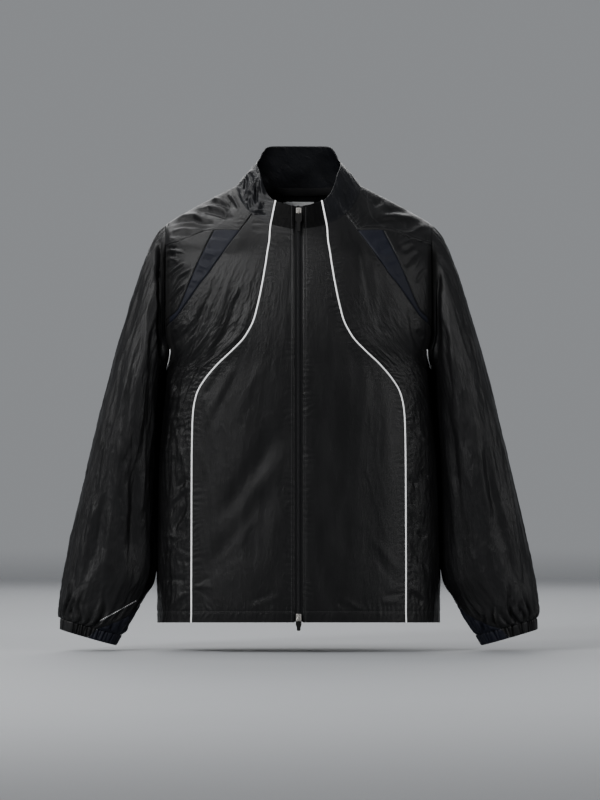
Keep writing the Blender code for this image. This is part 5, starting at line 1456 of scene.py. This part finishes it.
def gatherHeight(turn, row, radius, hand):
    total = np.zeros(np.shape(turn))
    angle = np.degrees(turn) % 360
    for number, (at, start, depth, width) in enumerate(sleeve["gathers"]):
        at = at if hand > 0 else 360 - at + 4
        off = (angle - at - 3.5 * np.sin(row * 1.9 + number) + 180) % 360 - 180
        away = np.radians(off) * radius / (width * mm)
        grow = fade(row, start - 1.0, start + 1.3)
        total -= 3.0 * depth * mm * grow * (np.exp(-away ** 2) - 0.35 * np.exp(-(away / 2.6) ** 2))
    return total


def gussetHalf(row):
    share = np.clip((row - sleeve["gussetApex"]) / (17 - sleeve["gussetApex"]), 0, 1)
    return math.radians(sleeve["gussetAtCuff"]) * share


def sleeveGrid(turns, rows, side):
    rows = np.repeat(rows[:, None], turns.shape[1], 1)
    hand = np.array([side, 1, 1])
    points, normals = sleevePoint(turns, rows), sleeveNormal(turns, rows)
    flat = inPlane(normals, sleeveTable(rows))
    normals = np.where(rows[..., None] >= 17, flat, normals)
    return measure({"turn": turns, "row": rows, "side": side, "points": points * hand,
                    "normals": normals * hand})


def sleeveHeight(grid, hand, seed):
    turn, row = grid["turn"], grid["row"]
    held = 0.3 + 0.7 * fade(row, 0.0, 0.5)
    height = longFolds(turn, row)
    height += held * handCreases(grid, [f"sleeve{hand}"]) * (0.25 + 0.75 * fade(row, 0, 0.7))
    across = turn * sleeve["crinkleRadius"]
    along = (grid["along"][:, :1] * 0.5 + grid["along"] * 0.5) * sleeve["crinkleShorter"]
    height += held * cloudHeight(across, along, wrinkles[f"sleeve{hand}"], seed)
    radius = 0.5 * np.hypot(sleeveTable(row)[..., 0] - sleeveTable(row)[..., 2],
                            sleeveTable(row)[..., 1] - sleeveTable(row)[..., 3])
    height += gatherHeight(turn, row, radius, grid["side"])
    height += 0.45 * mm * puckers(turn * 0.1, np.maximum(grid["fromBottom"], 0), 8 * mm, 14 * mm,
                                  seed + 31)
    off = np.degrees(np.mod(turn + pi, 2 * pi) - pi)
    inner = np.exp(-(off / 17) ** 4) * fade(row, 0, 1)
    height = height * (1 - inner * (1 - fade(row, 12.6, 14))) + pressTable(row)[..., 0] * mm * inner
    tuck = fade(row, 16.72, 17.0)
    return height * (1 - 0.65 * tuck) - 1.3 * mm * tuck - rolled(grid, ("fromBottom",), 0.5 * mm)


# a narrow tape over the armhole's seam inside
armholeTape = {"halfWidth": 7.0 * mm, "height": -2.2 * mm, "wall": 0.6 * mm, "columns": 201,
               "rows": 9}
for side, hand in bothSides:
    turns = np.linspace(0.0001, 2 * pi - 0.0001, armholeTape["columns"])
    seam = sleevePoint(turns, turns * 0)
    loop = np.roll(seam[:-1], -1, axis=0) - np.roll(seam[:-1], 1, axis=0)
    loop = unit(np.concatenate([loop, loop[:1]]))
    inward = unit(armholeNormals(turns))
    toBody = np.cross(loop, inward)
    toBody *= -np.sign(toBody[:, 0].mean())
    toSleeve = unit(sleevePoint(turns, turns * 0 + 0.25) - seam)
    outward = sleeveNormal(turns, turns * 0 + 0.05)
    steps = np.linspace(-1, 1, armholeTape["rows"])[:, None, None]
    reach = np.abs(steps) * armholeTape["halfWidth"]
    points = seam + np.where(steps < 0, toBody, toSleeve) * reach
    normals = unit(inward + (outward - inward) * fade(steps, -0.7, 0.7))
    mirror = np.array([side, 1, 1])
    grid = measure({"points": points * mirror, "normals": normals * mirror, "side": side})
    sew(f"armholeTape{hand}", grid, np.full(grid["across"].shape, armholeTape["height"]),
        tapeFinish, [], "black_cloth", side < 0, tall=2 * armholeTape["halfWidth"],
        wall=armholeTape["wall"])

sleeveFine = np.linspace(0, 17, 400)
runs = sum(runAlong(sleevePoint(np.full(400, angle), sleeveFine))
           for angle in (0.0, pi / 2, pi, 3 * pi / 2))
sleeveRows = np.interp(np.linspace(0, runs[-1], sleeve["rowCount"] + 1), runs, sleeveFine)


def cuffRow(share):
    top, end = np.array(sleeve["cuffTop"]), np.array(sleeve["cuffEnd"])
    return top + (end - top) * share[..., None]


def cuffHalf(share):
    low, high = sleeve["gussetAtCuff"], sleeve["gussetAtEnd"]
    return np.radians(low + (high - low) * share)


def cuffGrid(turns, down, side):
    shares = np.repeat(down[:, None], turns.shape[1], 1)
    rows = cuffRow(shares)
    points = ovalPoint(rows, turns % (2 * pi))
    ahead = ovalPoint(rows, (turns + 0.01) % (2 * pi)) - ovalPoint(rows, (turns - 0.01) % (2 * pi))
    outX, outZ, inX, inZ, _, shift = np.moveaxis(rows, -1, 0)
    across = unit(np.stack([outX - inX, np.zeros_like(outX), outZ - inZ], axis=-1))
    down = np.cross(np.array([0.0, 1.0, 0.0]), across)
    normals = inPlane(unit(np.cross(down, ahead)), rows)
    middle = np.stack([(inX + outX) / 2, shift, (inZ + outZ) / 2], axis=-1)
    normals *= np.sign((normals * (points - middle)).sum(-1))[..., None]
    hand = np.array([side, 1, 1])
    return measure({"turn": turns, "share": shares, "side": side, "points": points * hand,
                    "normals": normals * hand})


# the elastic draws the cuff into plain stretches with sharp tucks between them
def cuffHeight(grid, seed):
    share, angle = grid["share"], np.degrees(grid["turn"]) % 360
    radius = grid["size"][0] / (grid["turn"].max() - grid["turn"].min())
    nearest = np.full(share.shape, 1.0)
    depth = np.zeros(share.shape)
    for number, (at, deep) in enumerate(sleeve["tucks"]):
        at = at if grid["side"] < 0 else 360 - at + 3
        lean = 2.2 * math.sin(number * 2.3 + grid["side"]) * (share - 0.5)
        off = (angle - at - lean + 180) % 360 - 180
        gap = np.abs(np.radians(off) * radius)
        depth = np.where(gap < nearest, deep, depth)
        nearest = np.minimum(gap, nearest)
    swell = 1.0 * mm * (1 - np.exp(-(nearest / (2.6 * mm)) ** 2))
    tuck = depth * mm * np.exp(-(nearest / (1.05 * mm)) ** 2)
    fine = 0.25 * mm * drift(angle * 0.16, share * 2.2, seed + 2)
    ends = 0.7 * mm * (np.exp(-(share / 0.07) ** 2) + np.exp(-((1 - share) / 0.07) ** 2))
    return swell - tuck + fine - ends


# a sleeve or gusset piece: its heights are held flat where it is sewn along its sides
def sewnSleeve(grid, hand, side, reach):
    seamed = ("fromStart", "fromEnd")
    height = sleeveHeight(grid, hand, 131 + 10 * side)
    return height * calm(grid, seamed, 0.4, reach) - rolled(grid, seamed, 0.6 * mm)


gusset = {"rows": 37, "columns": 61}
cuff = {"rows": 17, "columns": 341, "insideColumns": 161}
for side, hand in bothSides:
    node = hand.lower()
    cut = gussetHalf(sleeveRows) + np.where(sleeveRows > sleeve["gussetApex"],
                                            sleeve["gussetRoom"], sleeve["seamRoom"])
    shares = np.linspace(0, 2 * pi, sleeve["columns"] + 1)
    turns = cut[:, None] + shares * (1 - cut[:, None] / pi)
    grid = sleeveGrid(turns, sleeveRows, side)
    sew(f"sleeve{hand}", grid, sewnSleeve(grid, hand, side, 7 * mm), sleeveCloth,
        [f"sleeve_{node}"], "black_cloth", side > 0)

    # navy gusset above the cuff
    lowRows = np.linspace(sleeve["gussetApex"] + 0.06, 17, gusset["rows"])
    half = gussetHalf(lowRows) - sleeve["gussetRoom"]
    grid = sleeveGrid(half[:, None] * np.linspace(1, -1, gusset["columns"]), lowRows, side)
    sew(f"gusset{hand}", grid, sewnSleeve(grid, hand, side, 6 * mm), navyCloth,
        [f"cuff_gusset_{node}"], "navy_cloth", side < 0)

    # elastic cuff, the shell part and the navy part
    down = np.linspace(0, 1, cuff["rows"])
    start = cuffHalf(down) + sleeve["gussetRoom"]
    around = np.linspace(0, 1, cuff["columns"])
    grid = cuffGrid(start[:, None] + 2 * (pi - start[:, None]) * around, down, side)
    sew(f"cuff{hand}", grid, cuffHeight(grid, 151 + side), cuffCloth, [f"cuff_{node}"],
        "black_cloth", side > 0, held="gathered")

    half = cuffHalf(down) - sleeve["gussetRoom"]
    grid = cuffGrid(half[:, None] * np.linspace(-1, 1, cuff["insideColumns"]), down, side)
    sew(f"cuffInside{hand}", grid, cuffHeight(grid, 161 + side), navyCloth,
        [f"cuff_gusset_{node}"], "navy_cloth", side > 0, held="gathered")
print("sleeves and cuffs done")


# even steps along a line of points, with the way out at each
def evenly(points, normals, spacing):
    runs = runAlong(points)
    wanted = np.linspace(0, runs[-1], max(2, int(round(runs[-1] / spacing)) + 1))
    line = np.stack([np.interp(wanted, runs, points[:, k]) for k in range(3)], axis=-1)
    out = unit(np.stack([np.interp(wanted, runs, normals[:, k]) for k in range(3)], axis=-1))
    return line, out


# a strip or cord of one section along a line of points, closed at both ends
def sweep(name, points, normals, section, material, slot, nodes, flatness=None):
    along = unit(np.gradient(points, axis=0))
    sideways = unit(np.cross(along, normals))
    section = np.array(section)
    tall = np.ones(len(points)) if flatness is None else flatness
    rings = (points[:, None] + sideways[:, None] * section[None, :, :1]
             + normals[:, None] * section[None, :, 1:] * tall[:, None, None])
    count, around = rings.shape[:2]
    index = np.arange(count * around).reshape(count, around)
    turned = np.roll(index, -1, axis=1)
    faces = np.stack([index[:-1], turned[:-1], turned[1:], index[1:]], -1).reshape(-1, 4).tolist()
    faces += [index[0, ::-1].tolist(), index[-1].tolist()]
    runs = runAlong(points)
    wrap = runAlong(section)
    uvs = np.stack(np.broadcast_arrays(wrap[None], runs[:, None]), -1).reshape(-1, 2)
    piece = addMesh(name, rings.reshape(-1, 3), faces, material, uvs, sharp=50)
    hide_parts(*nodes)


piping = {"halfWidth": 1.15 * mm, "low": -1.2 * mm, "high": 1.35 * mm, "spacing": 2.5 * mm,
          "armLift": 0.2 * mm, "crossesAt": 6.3333, "crossSink": 1.0 * mm}
turns = np.linspace(0, 2 * pi, 14, endpoint=False)
middleHigh = (piping["low"] + piping["high"]) / 2
pipingSection = np.stack([
    -piping["halfWidth"] * np.sign(np.cos(turns)) * np.abs(np.cos(turns)) ** 0.85,
    middleHigh + (piping["high"] - piping["low"]) / 2 * np.sin(turns)], -1)


# each point moved towards its neighbours, so a line bends without kinks
def softened(values, rounds=2):
    for _ in range(rounds):
        values[1:-1] = (values[:-2] + 2 * values[1:-1] + values[2:]) / 4
    return values


# points and normals on the body's cloth, with its big folds and the armhole's fold
def onBody(turns, levels, side, lift=0.0):
    hand = np.array([side, 1, 1])
    points, normals = bodyPoint(turns, levels) * hand, bodyNormal(turns, levels) * hand
    return foldedBack(points + normals * (lift - bigFolds(points))[..., None]), normals


# the side piping's end in front, by distance from the middle and height
armRoute = ((0.2118, -0.2930), (0.2094, -0.2850), (0.2068, -0.2765), (0.2048, -0.2680),
            (0.2044, -0.2590))
for side, hand in bothSides:
    levels = np.linspace(0, neck, 400)
    points, normals = onBody(pipingSeam(levels), levels, side)
    rises = np.linspace(0.03, 1, 26)
    mirror = np.array([side, 1, 1])
    top = collarPipingTurn(rises)
    points = np.concatenate([points, collarPoint(top, rises) * mirror])
    normals = np.concatenate([normals, collarNormal(top, rises) * mirror])
    points, normals = evenly(points, normals, piping["spacing"])
    sweep(f"frontPiping{hand}", softened(points), unit(softened(normals)), pipingSection,
          pipingFinish, "white_piping", [f"front_piping_{hand.lower()}"])

    # up the side seam, then across under the sleeve to the front of the armhole
    crossing = piping["crossesAt"]
    lowLevels = np.linspace(0, crossing, 300)
    points, normals = onBody(sideSeam(lowLevels), lowLevels, side)
    routeLevels, routeTurns = placeOnBody(armRoute)
    share = np.linspace(0, 1, 40)[1:]
    crossLevels = crossing + (routeLevels[0] - crossing) * share
    startTurn = float(sideSeam(np.array(crossing)))
    crossTurns = startTurn + (routeTurns[0] - startTurn) * share
    crossPoints, crossNormals = onBody(crossTurns, crossLevels, side,
                                       -piping["crossSink"] * np.sin(pi * share))
    endPoints, endNormals = onBody(routeTurns[1:], routeLevels[1:], side, piping["armLift"])
    points = np.concatenate([points, crossPoints, endPoints])
    normals = np.concatenate([normals, crossNormals, endNormals])
    points, normals = evenly(points, normals, piping["spacing"])
    under = fade(np.abs(points[:, 0]), 0.1960, 0.2080) * fade(points[:, 1], -0.085, -0.070)
    sweep(f"sidePiping{hand}", softened(points, 4), unit(softened(normals, 4)), pipingSection,
          pipingFinish, "white_piping", [f"side_piping_{hand.lower()}"],
          flatness=1 - 0.5 * under)
print("piping done")


# many copies of one small shape, each at a point with its own three directions
def repeated(name, shape, faces, centres, along, up, material, slot, nodes=()):
    side = unit(np.cross(along, up))
    up = unit(np.cross(side, along))
    shape = np.asarray(shape, float)
    points = (centres[:, None] + along[:, None] * shape[None, :, :1]
              + side[:, None] * shape[None, :, 1:2] + up[:, None] * shape[None, :, 2:])
    every = []
    for number in range(len(centres)):
        every += [[corner + number * len(shape) for corner in face] for face in faces]
    piece = addMesh(name, points.reshape(-1, 3), every, material, sharp=45)
    if nodes:
        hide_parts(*nodes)


# a short rounded bar along x, sunk at both ends
def barShape(long, wide, tall, sink, sides=6, rings=(-0.5, -0.36, 0.0, 0.36, 0.5)):
    points = []
    for ring in rings:
        size = 1.0 if abs(ring) < 0.4 else 0.55
        drop = -sink * (abs(ring) / 0.5) ** 3
        for step in range(sides):
            angle = 2 * pi * (step + 0.5) / sides
            points.append((ring * long, wide / 2 * size * math.cos(angle),
                           drop + tall / 2 * size * math.sin(angle)))
    faces = [list(range(sides)), [len(points) - 1 - step for step in range(sides)]]
    for ring in range(len(rings) - 1):
        for step in range(sides):
            low, after = ring * sides, (step + 1) % sides
            faces.append([low + step, low + sides + step, low + sides + after, low + after])
    return points, faces


zipSizes = {"tapeInner": 2.4 * mm, "tapeOuter": 11.5 * mm, "tapeHeight": -2.75 * mm,
            "tapeWall": 0.5 * mm, "toothPitch": 1.45 * mm, "toothHeight": -1.25 * mm,
            "toothShift": 0.75 * mm, "tooth": (3.3 * mm, 1.15 * mm, 1.5 * mm, 0.35 * mm),
            "bedHalfWidth": 2.9 * mm, "bedLow": -3.2 * mm, "bedHigh": -2.0 * mm}
levels = np.linspace(0, neck, 261)[:, None]
rises = np.linspace(0.02, 1, 17)[:, None]
for side, hand in bothSides:
    across = np.linspace(zipSizes["tapeInner"], zipSizes["tapeOuter"], 9)
    low = turnForX(across[None], levels)
    high = collarTurnForX(across[None], rises)
    mirror = np.array([side, 1, 1])
    lowPoints, lowNormals = onBody(low, np.repeat(levels, 9, 1), side)
    points = np.concatenate([lowPoints, collarPoint(high, rises) * mirror])
    normals = np.concatenate([lowNormals, collarNormal(high, rises + high * 0) * mirror])
    rows = (points.shape[0] - 1) // 4 * 4 + 1
    grid = measure({"points": points[-rows:], "normals": normals[-rows:], "side": side})
    height = zipSizes["tapeHeight"] + 0.12 * mm * np.sin(grid["across"] / (1.1 * mm) * pi)
    sew(f"zipTape{hand}", grid, height, tapeFinish, [f"zip_tape_{hand.lower()}"], "zip_tape",
        side < 0, wall=zipSizes["tapeWall"])

fine = np.linspace(0, neck, 500)
points, normals = onBody(np.zeros(500), fine, 1)
rises = np.linspace(0.02, 1, 30)
points = np.concatenate([points, collarPoint(np.zeros(30), rises)])
normals = np.concatenate([normals, collarNormal(np.zeros(30), rises)])
normals[:, 0] = 0
points[:, 0] = 0
centreLine, centreOut = evenly(points, unit(normals), zipSizes["toothPitch"] / 2)
sides = np.where(np.arange(len(centreLine)) % 2 == 0, 1.0, -1.0)
centres = centreLine + centreOut * zipSizes["toothHeight"]
centres[:, 0] += sides * zipSizes["toothShift"]
toothShape, toothFaces = barShape(*zipSizes["tooth"])
across = np.repeat([[1.0, 0.0, 0.0]], len(centres), 0)
repeated("zipCoil", toothShape, toothFaces, centres, across, centreOut, coilFinish, "zip_chain",
         ["zip_chain"])
bedWide, bedLow, bedHigh = (zipSizes[key] for key in ("bedHalfWidth", "bedLow", "bedHigh"))
bedSection = ((bedWide, bedLow), (bedWide, bedHigh), (-bedWide, bedHigh), (-bedWide, bedLow))
sweep("zipBed", *evenly(centreLine, centreOut, 4 * mm), bedSection, tapeFinish, "zip_chain",
      ["zip_chain"])
print("zip done")

# neck label, left blank
label = {"halfWidth": 24.5 * mm, "top": -0.0190, "bottom": -0.0560, "outer": -2.3 * mm,
         "inner": -2.9 * mm, "rows": 17, "columns": 25}
down = np.linspace(label["bottom"], label["top"], label["rows"])
levels = solve(lambda ring: bodyPoint(np.full(down.shape, pi), ring)[..., 2] - down, armpit, neck,
               down)
x = np.linspace(label["halfWidth"], -label["halfWidth"], label["columns"])
levels = np.repeat(levels[:, None], label["columns"], 1)
turns = np.where(np.abs(x)[None] < 1e-6, pi, turnForX(np.abs(x)[None], levels, True))
mirror = np.stack([np.sign(x)[None] + levels * 0, np.ones_like(turns), np.ones_like(turns)], -1)
grid = measure({"points": bodyPoint(turns, levels) * mirror,
                "normals": bodyNormal(turns, levels) * mirror, "side": 1})
curl = 0.5 * mm * drift(grid["across"] / 0.02, grid["along"] / 0.02, 201)
inside = grid["points"] + grid["normals"] * (label["inner"] + curl)[..., None]
sew("neckLabel", grid, label["outer"] + curl, labelFinish, ["neck_label"], "neck_label",
    inner=inside)
labelGrid = dict(grid, outer=inside, normals=-grid["normals"])
print("label done")


stitches = {"pitch": 3.4 * mm, "long": 2.9 * mm, "wide": 0.55 * mm, "tall": 0.45 * mm,
            "sink": 0.30 * mm, "lift": 0.14 * mm, "nearSeam": 2.0 * mm, "secondRow": 7.0 * mm,
            "labelEdge": 1.6 * mm, "labelPitch": 2.2 * mm,
            "label": (1.7 * mm, 0.4 * mm, 0.35 * mm, 0.2 * mm)}


# the line on a grid's outer face that keeps a distance from one of its edges
def lineBeside(grid, edge, distance, keep=None):
    reach, outer, normals = grid[edge], grid["outer"], grid["normals"]
    if edge in ("fromStart", "fromEnd"):
        lanes = [(reach[k], outer[k], normals[k]) for k in range(len(reach))]
    else:
        lanes = [(reach[:, k], outer[:, k], normals[:, k]) for k in range(reach.shape[1])]
    points, outs = [], []
    for number, (gap, place, out) in enumerate(lanes):
        if keep is not None and not keep(number / (len(lanes) - 1)):
            continue
        if gap.max() < distance:
            continue
        order = np.argsort(gap)
        points.append([np.interp(distance, gap[order], place[order, k]) for k in range(3)])
        outs.append([np.interp(distance, gap[order], out[order, k]) for k in range(3)])
    return np.array(points), unit(np.array(outs))


def stitchRow(points, normals, pitch):
    line, out = evenly(points, normals, pitch)
    centres = (line[1:] + line[:-1]) / 2
    return centres + out[1:] * stitches["lift"], unit(line[1:] - line[:-1]), out[1:]


# where lines straight back from the front view meet a panel
def seenFromFront(grid, route):
    rows, columns = grid["outer"].shape[:2]
    index = np.arange(rows * columns).reshape(rows, columns)
    quads = np.stack([index[:-1, :-1], index[:-1, 1:], index[1:, 1:], index[1:, :-1]], -1)
    tree = BVHTree.FromPolygons(grid["outer"].reshape(-1, 3).tolist(),
                                quads.reshape(-1, 4).tolist())
    points, outs = [], []
    for x, z in route:
        hit, normal, _, _ = tree.ray_cast(Vector((x, -0.4, z)), Vector((0, 1, 0)))
        if hit is not None:
            points.append(np.array(hit))
            outs.append(np.array(-normal if normal.y > 0 else normal))
    return np.array(points), np.array(outs)


# a second line of stitches across the yoke, by distance from the middle and height
yokeLine = ((0.1381, -0.0667), (0.1281, -0.0583), (0.1170, -0.0483), (0.1114, -0.0345),
            (0.1090, -0.0191), (0.1106, -0.0099))
rowsOfStitches = []
for hand in ("Left", "Right"):
    front, side = panels[f"front{hand}"], panels[f"side{hand}"]
    rowsOfStitches += [lineBeside(front, "fromBottom", hem["line"]),
                       lineBeside(side, "fromBottom", hem["line"]),
                       lineBeside(front, "fromStart", frontPanel["zipLine"]),
                       lineBeside(panels[f"collarFront{hand}"], "fromStart", frontPanel["zipLine"])]
    rowsOfStitches += [lineBeside(panels[f"yoke{part}{hand}"], edge, stitches[gap])
                       for part, edge in (("Front", "fromStart"), ("Back", "fromEnd"))
                       for gap in ("nearSeam", "secondRow")]
    share = 1 - (side["level"][:, 0] > raglanArm + 0.05).mean()
    rowsOfStitches.append(lineBeside(side, "fromEnd", stitches["nearSeam"],
                                     lambda t, s=share: t > s))
for side, hand in reversed(bothSides):
    corners = np.array(yokeLine) * (side, 1)
    runs = runAlong(corners)
    share = np.linspace(0, runs[-1], 40)
    route = np.stack([np.interp(share, runs, corners[:, k]) for k in (0, 1)], -1)
    rowsOfStitches.append(seenFromFront(panels[f"yokeFront{hand}"], route))
rowsOfStitches.append(lineBeside(panels["backPanel"], "fromBottom", hem["line"]))


# small bars along rows of points, one for each stitch
def stitchRows(name, rows, pitch, bar, material, slot):
    parts = [stitchRow(points, normals, pitch) for points, normals in rows if len(points) > 3]
    centres, along, up = (np.concatenate([part[k] for part in parts]) for k in range(3))
    repeated(name, *barShape(*bar), centres, along, up, material, slot)
    print(f"{len(centres)} stitches in {name}")


stitchRows("topStitching", rowsOfStitches, stitches["pitch"],
           [stitches[key] for key in ("long", "wide", "tall", "sink")], threadFinish,
           "black_cloth")
stitchRows("labelStitching", [lineBeside(labelGrid, edge, stitches["labelEdge"])
                              for edge in ("fromStart", "fromEnd", "fromTop")],
           stitches["labelPitch"], stitches["label"], labelFinish, "neck_label")

# dashed reflective line above the gusset of the wearer's right cuff
reflective = {"from": (-0.3160, -0.6906), "to": (-0.2600, -0.6598), "count": 22,
              "long": 1.35 * mm, "wide": 1.25 * mm, "tall": 0.45 * mm}
route = np.array(reflective["from"]) + np.linspace(0, 1, reflective["count"])[:, None] * (
    np.array(reflective["to"]) - np.array(reflective["from"]))
points, outs = seenFromFront(panels["sleeveRight"], route)
dash, dashFaces = barShape(reflective["long"], reflective["wide"], reflective["tall"], 0.0, sides=8)
repeated("reflectiveDashes", dash, dashFaces, points + outs * 0.1 * mm,
         unit(np.gradient(points, axis=0)), outs, reflectiveFinish, "white_piping")
print(f"{len(points)} reflective dashes")

# sliders and pulls keep their solids' shapes
for name, finish in (("slider_top", metalFinish), ("slider_bottom", metalFinish),
                     ("pull_loop_top", metalFinish), ("pull_loop_bottom", metalFinish),
                     ("pull_tab_top", rubberFinish), ("pull_tab_bottom", rubberFinish)):
    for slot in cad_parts[name].material_slots:
        slot.material = finish

print("stitching and small parts done")

studio = {
    "floorHeight": -0.740,
    "floorRadius": 16.0,
    "floorColour": (0.24, 0.247, 0.257),
    "air": (0.43, 0.445, 0.465),
    "airStrength": 0.60,
    "lights": (
        # where it stands, where it points, size, power
        ("key", (-1.9, -3.3, 1.85), (0.0, 0.0, -0.25), 1.0, 153.0),
        ("top", (-1.1, 0.15, 2.9), (-0.12, 0.0, -0.05), 1.5, 57.0),
        ("rim", (-1.2, 1.6, 2.2), (0.0, 0.0, -0.10), 1.2, 25.0),
        ("side", (-3.3, -1.8, 1.6), (-0.2, 0.0, -0.25), 0.9, 98.0),
        ("fill", (3.2, -2.4, 0.7), (0.1, 0.0, -0.38), 1.0, 75.0),
        ("low", (0.0, 3.4, 1.2), (0.0, 0.5, -0.74), 3.0, 70.0),
    ),
    "camera": (0.0021, -12.0, -0.3392),
    "lens": 337.5,
}

# the floor: a round sheet that thins out far away
rings = np.concatenate([[0.0], np.geomspace(0.3, studio["floorRadius"], 24)])
spokes = np.linspace(0, 2 * pi, 64, endpoint=False)
points = [(0.0, 0.0, studio["floorHeight"])]
for ring in rings[1:]:
    points += [(ring * math.cos(a), ring * math.sin(a), studio["floorHeight"]) for a in spokes]
faces = [[0, 1 + k, 1 + (k + 1) % 64] for k in range(64)]
for low in range(1, len(points) - 64, 64):
    faces += [[low + k, low + 64 + k, low + 64 + (k + 1) % 64, low + (k + 1) % 64]
              for k in range(64)]
mesh = bpy.data.meshes.new("studioFloor")
mesh.from_pydata(points, [], faces)
mesh.shade_smooth()
floor = bpy.data.objects.new("studioFloor", mesh)
bpy.context.scene.collection.objects.link(floor)
material, tree, shader = newMaterial("paleFloor")
place = addNode(tree, "ShaderNodeTexCoord", {}, out="Object")
grain = addNode(tree, "ShaderNodeTexNoise", {"Vector": place, "Scale": 3.0, "Detail": 4.0},
                out="Fac")
away = addNode(tree, "ShaderNodeVectorMath", {0: place}, out="Value", operation="LENGTH")
feed(tree, shader, {
    "Roughness": 0.75, "Specular IOR Level": 0.15,
    "Base Color": mixNode(tree, grain, (*studio["floorColour"], 1),
                          (*[value * 0.96 for value in studio["floorColour"]], 1)),
    "Alpha": spreadNode(tree, away, 1.2, studio["floorRadius"] * 0.55, 1.0, 0.0,
                        interpolation_type="SMOOTHSTEP")})
mesh.materials.append(material)

world = bpy.data.worlds.new("studioAir")
world.use_nodes = True
air = next(node for node in world.node_tree.nodes if node.type == "BACKGROUND")
air.inputs["Color"].default_value = (*studio["air"], 1)
air.inputs["Strength"].default_value = studio["airStrength"]
bpy.context.scene.world = world

for name, at, towards, size, power in studio["lights"]:
    lamp = bpy.data.lights.new(name, "AREA")
    lamp.shape = "DISK"
    lamp.size = size
    lamp.energy = power
    holder = bpy.data.objects.new(name, lamp)
    holder.location = at
    holder.rotation_euler = (Vector(towards) - Vector(at)).to_track_quat("-Z", "Y").to_euler()
    holder.visible_camera = False
    bpy.context.scene.collection.objects.link(holder)

camera = bpy.data.cameras.new("frontCamera")
camera.sensor_fit = "VERTICAL"
camera.sensor_height = 36
camera.lens = studio["lens"]
camera.clip_end = 100
holder = bpy.data.objects.new("frontCamera", camera)
holder.location = studio["camera"]
holder.rotation_euler = (pi / 2, 0, 0)
bpy.context.scene.collection.objects.link(holder)
bpy.context.scene.camera = holder
print("studio ready")

triangles = {piece.name: sum(len(face.vertices) - 2 for face in piece.data.polygons)
             for piece in allPieces}
print(f"{sum(triangles.values())} triangles, most in {max(triangles, key=triangles.get)}: "
      f"{max(triangles.values())}")
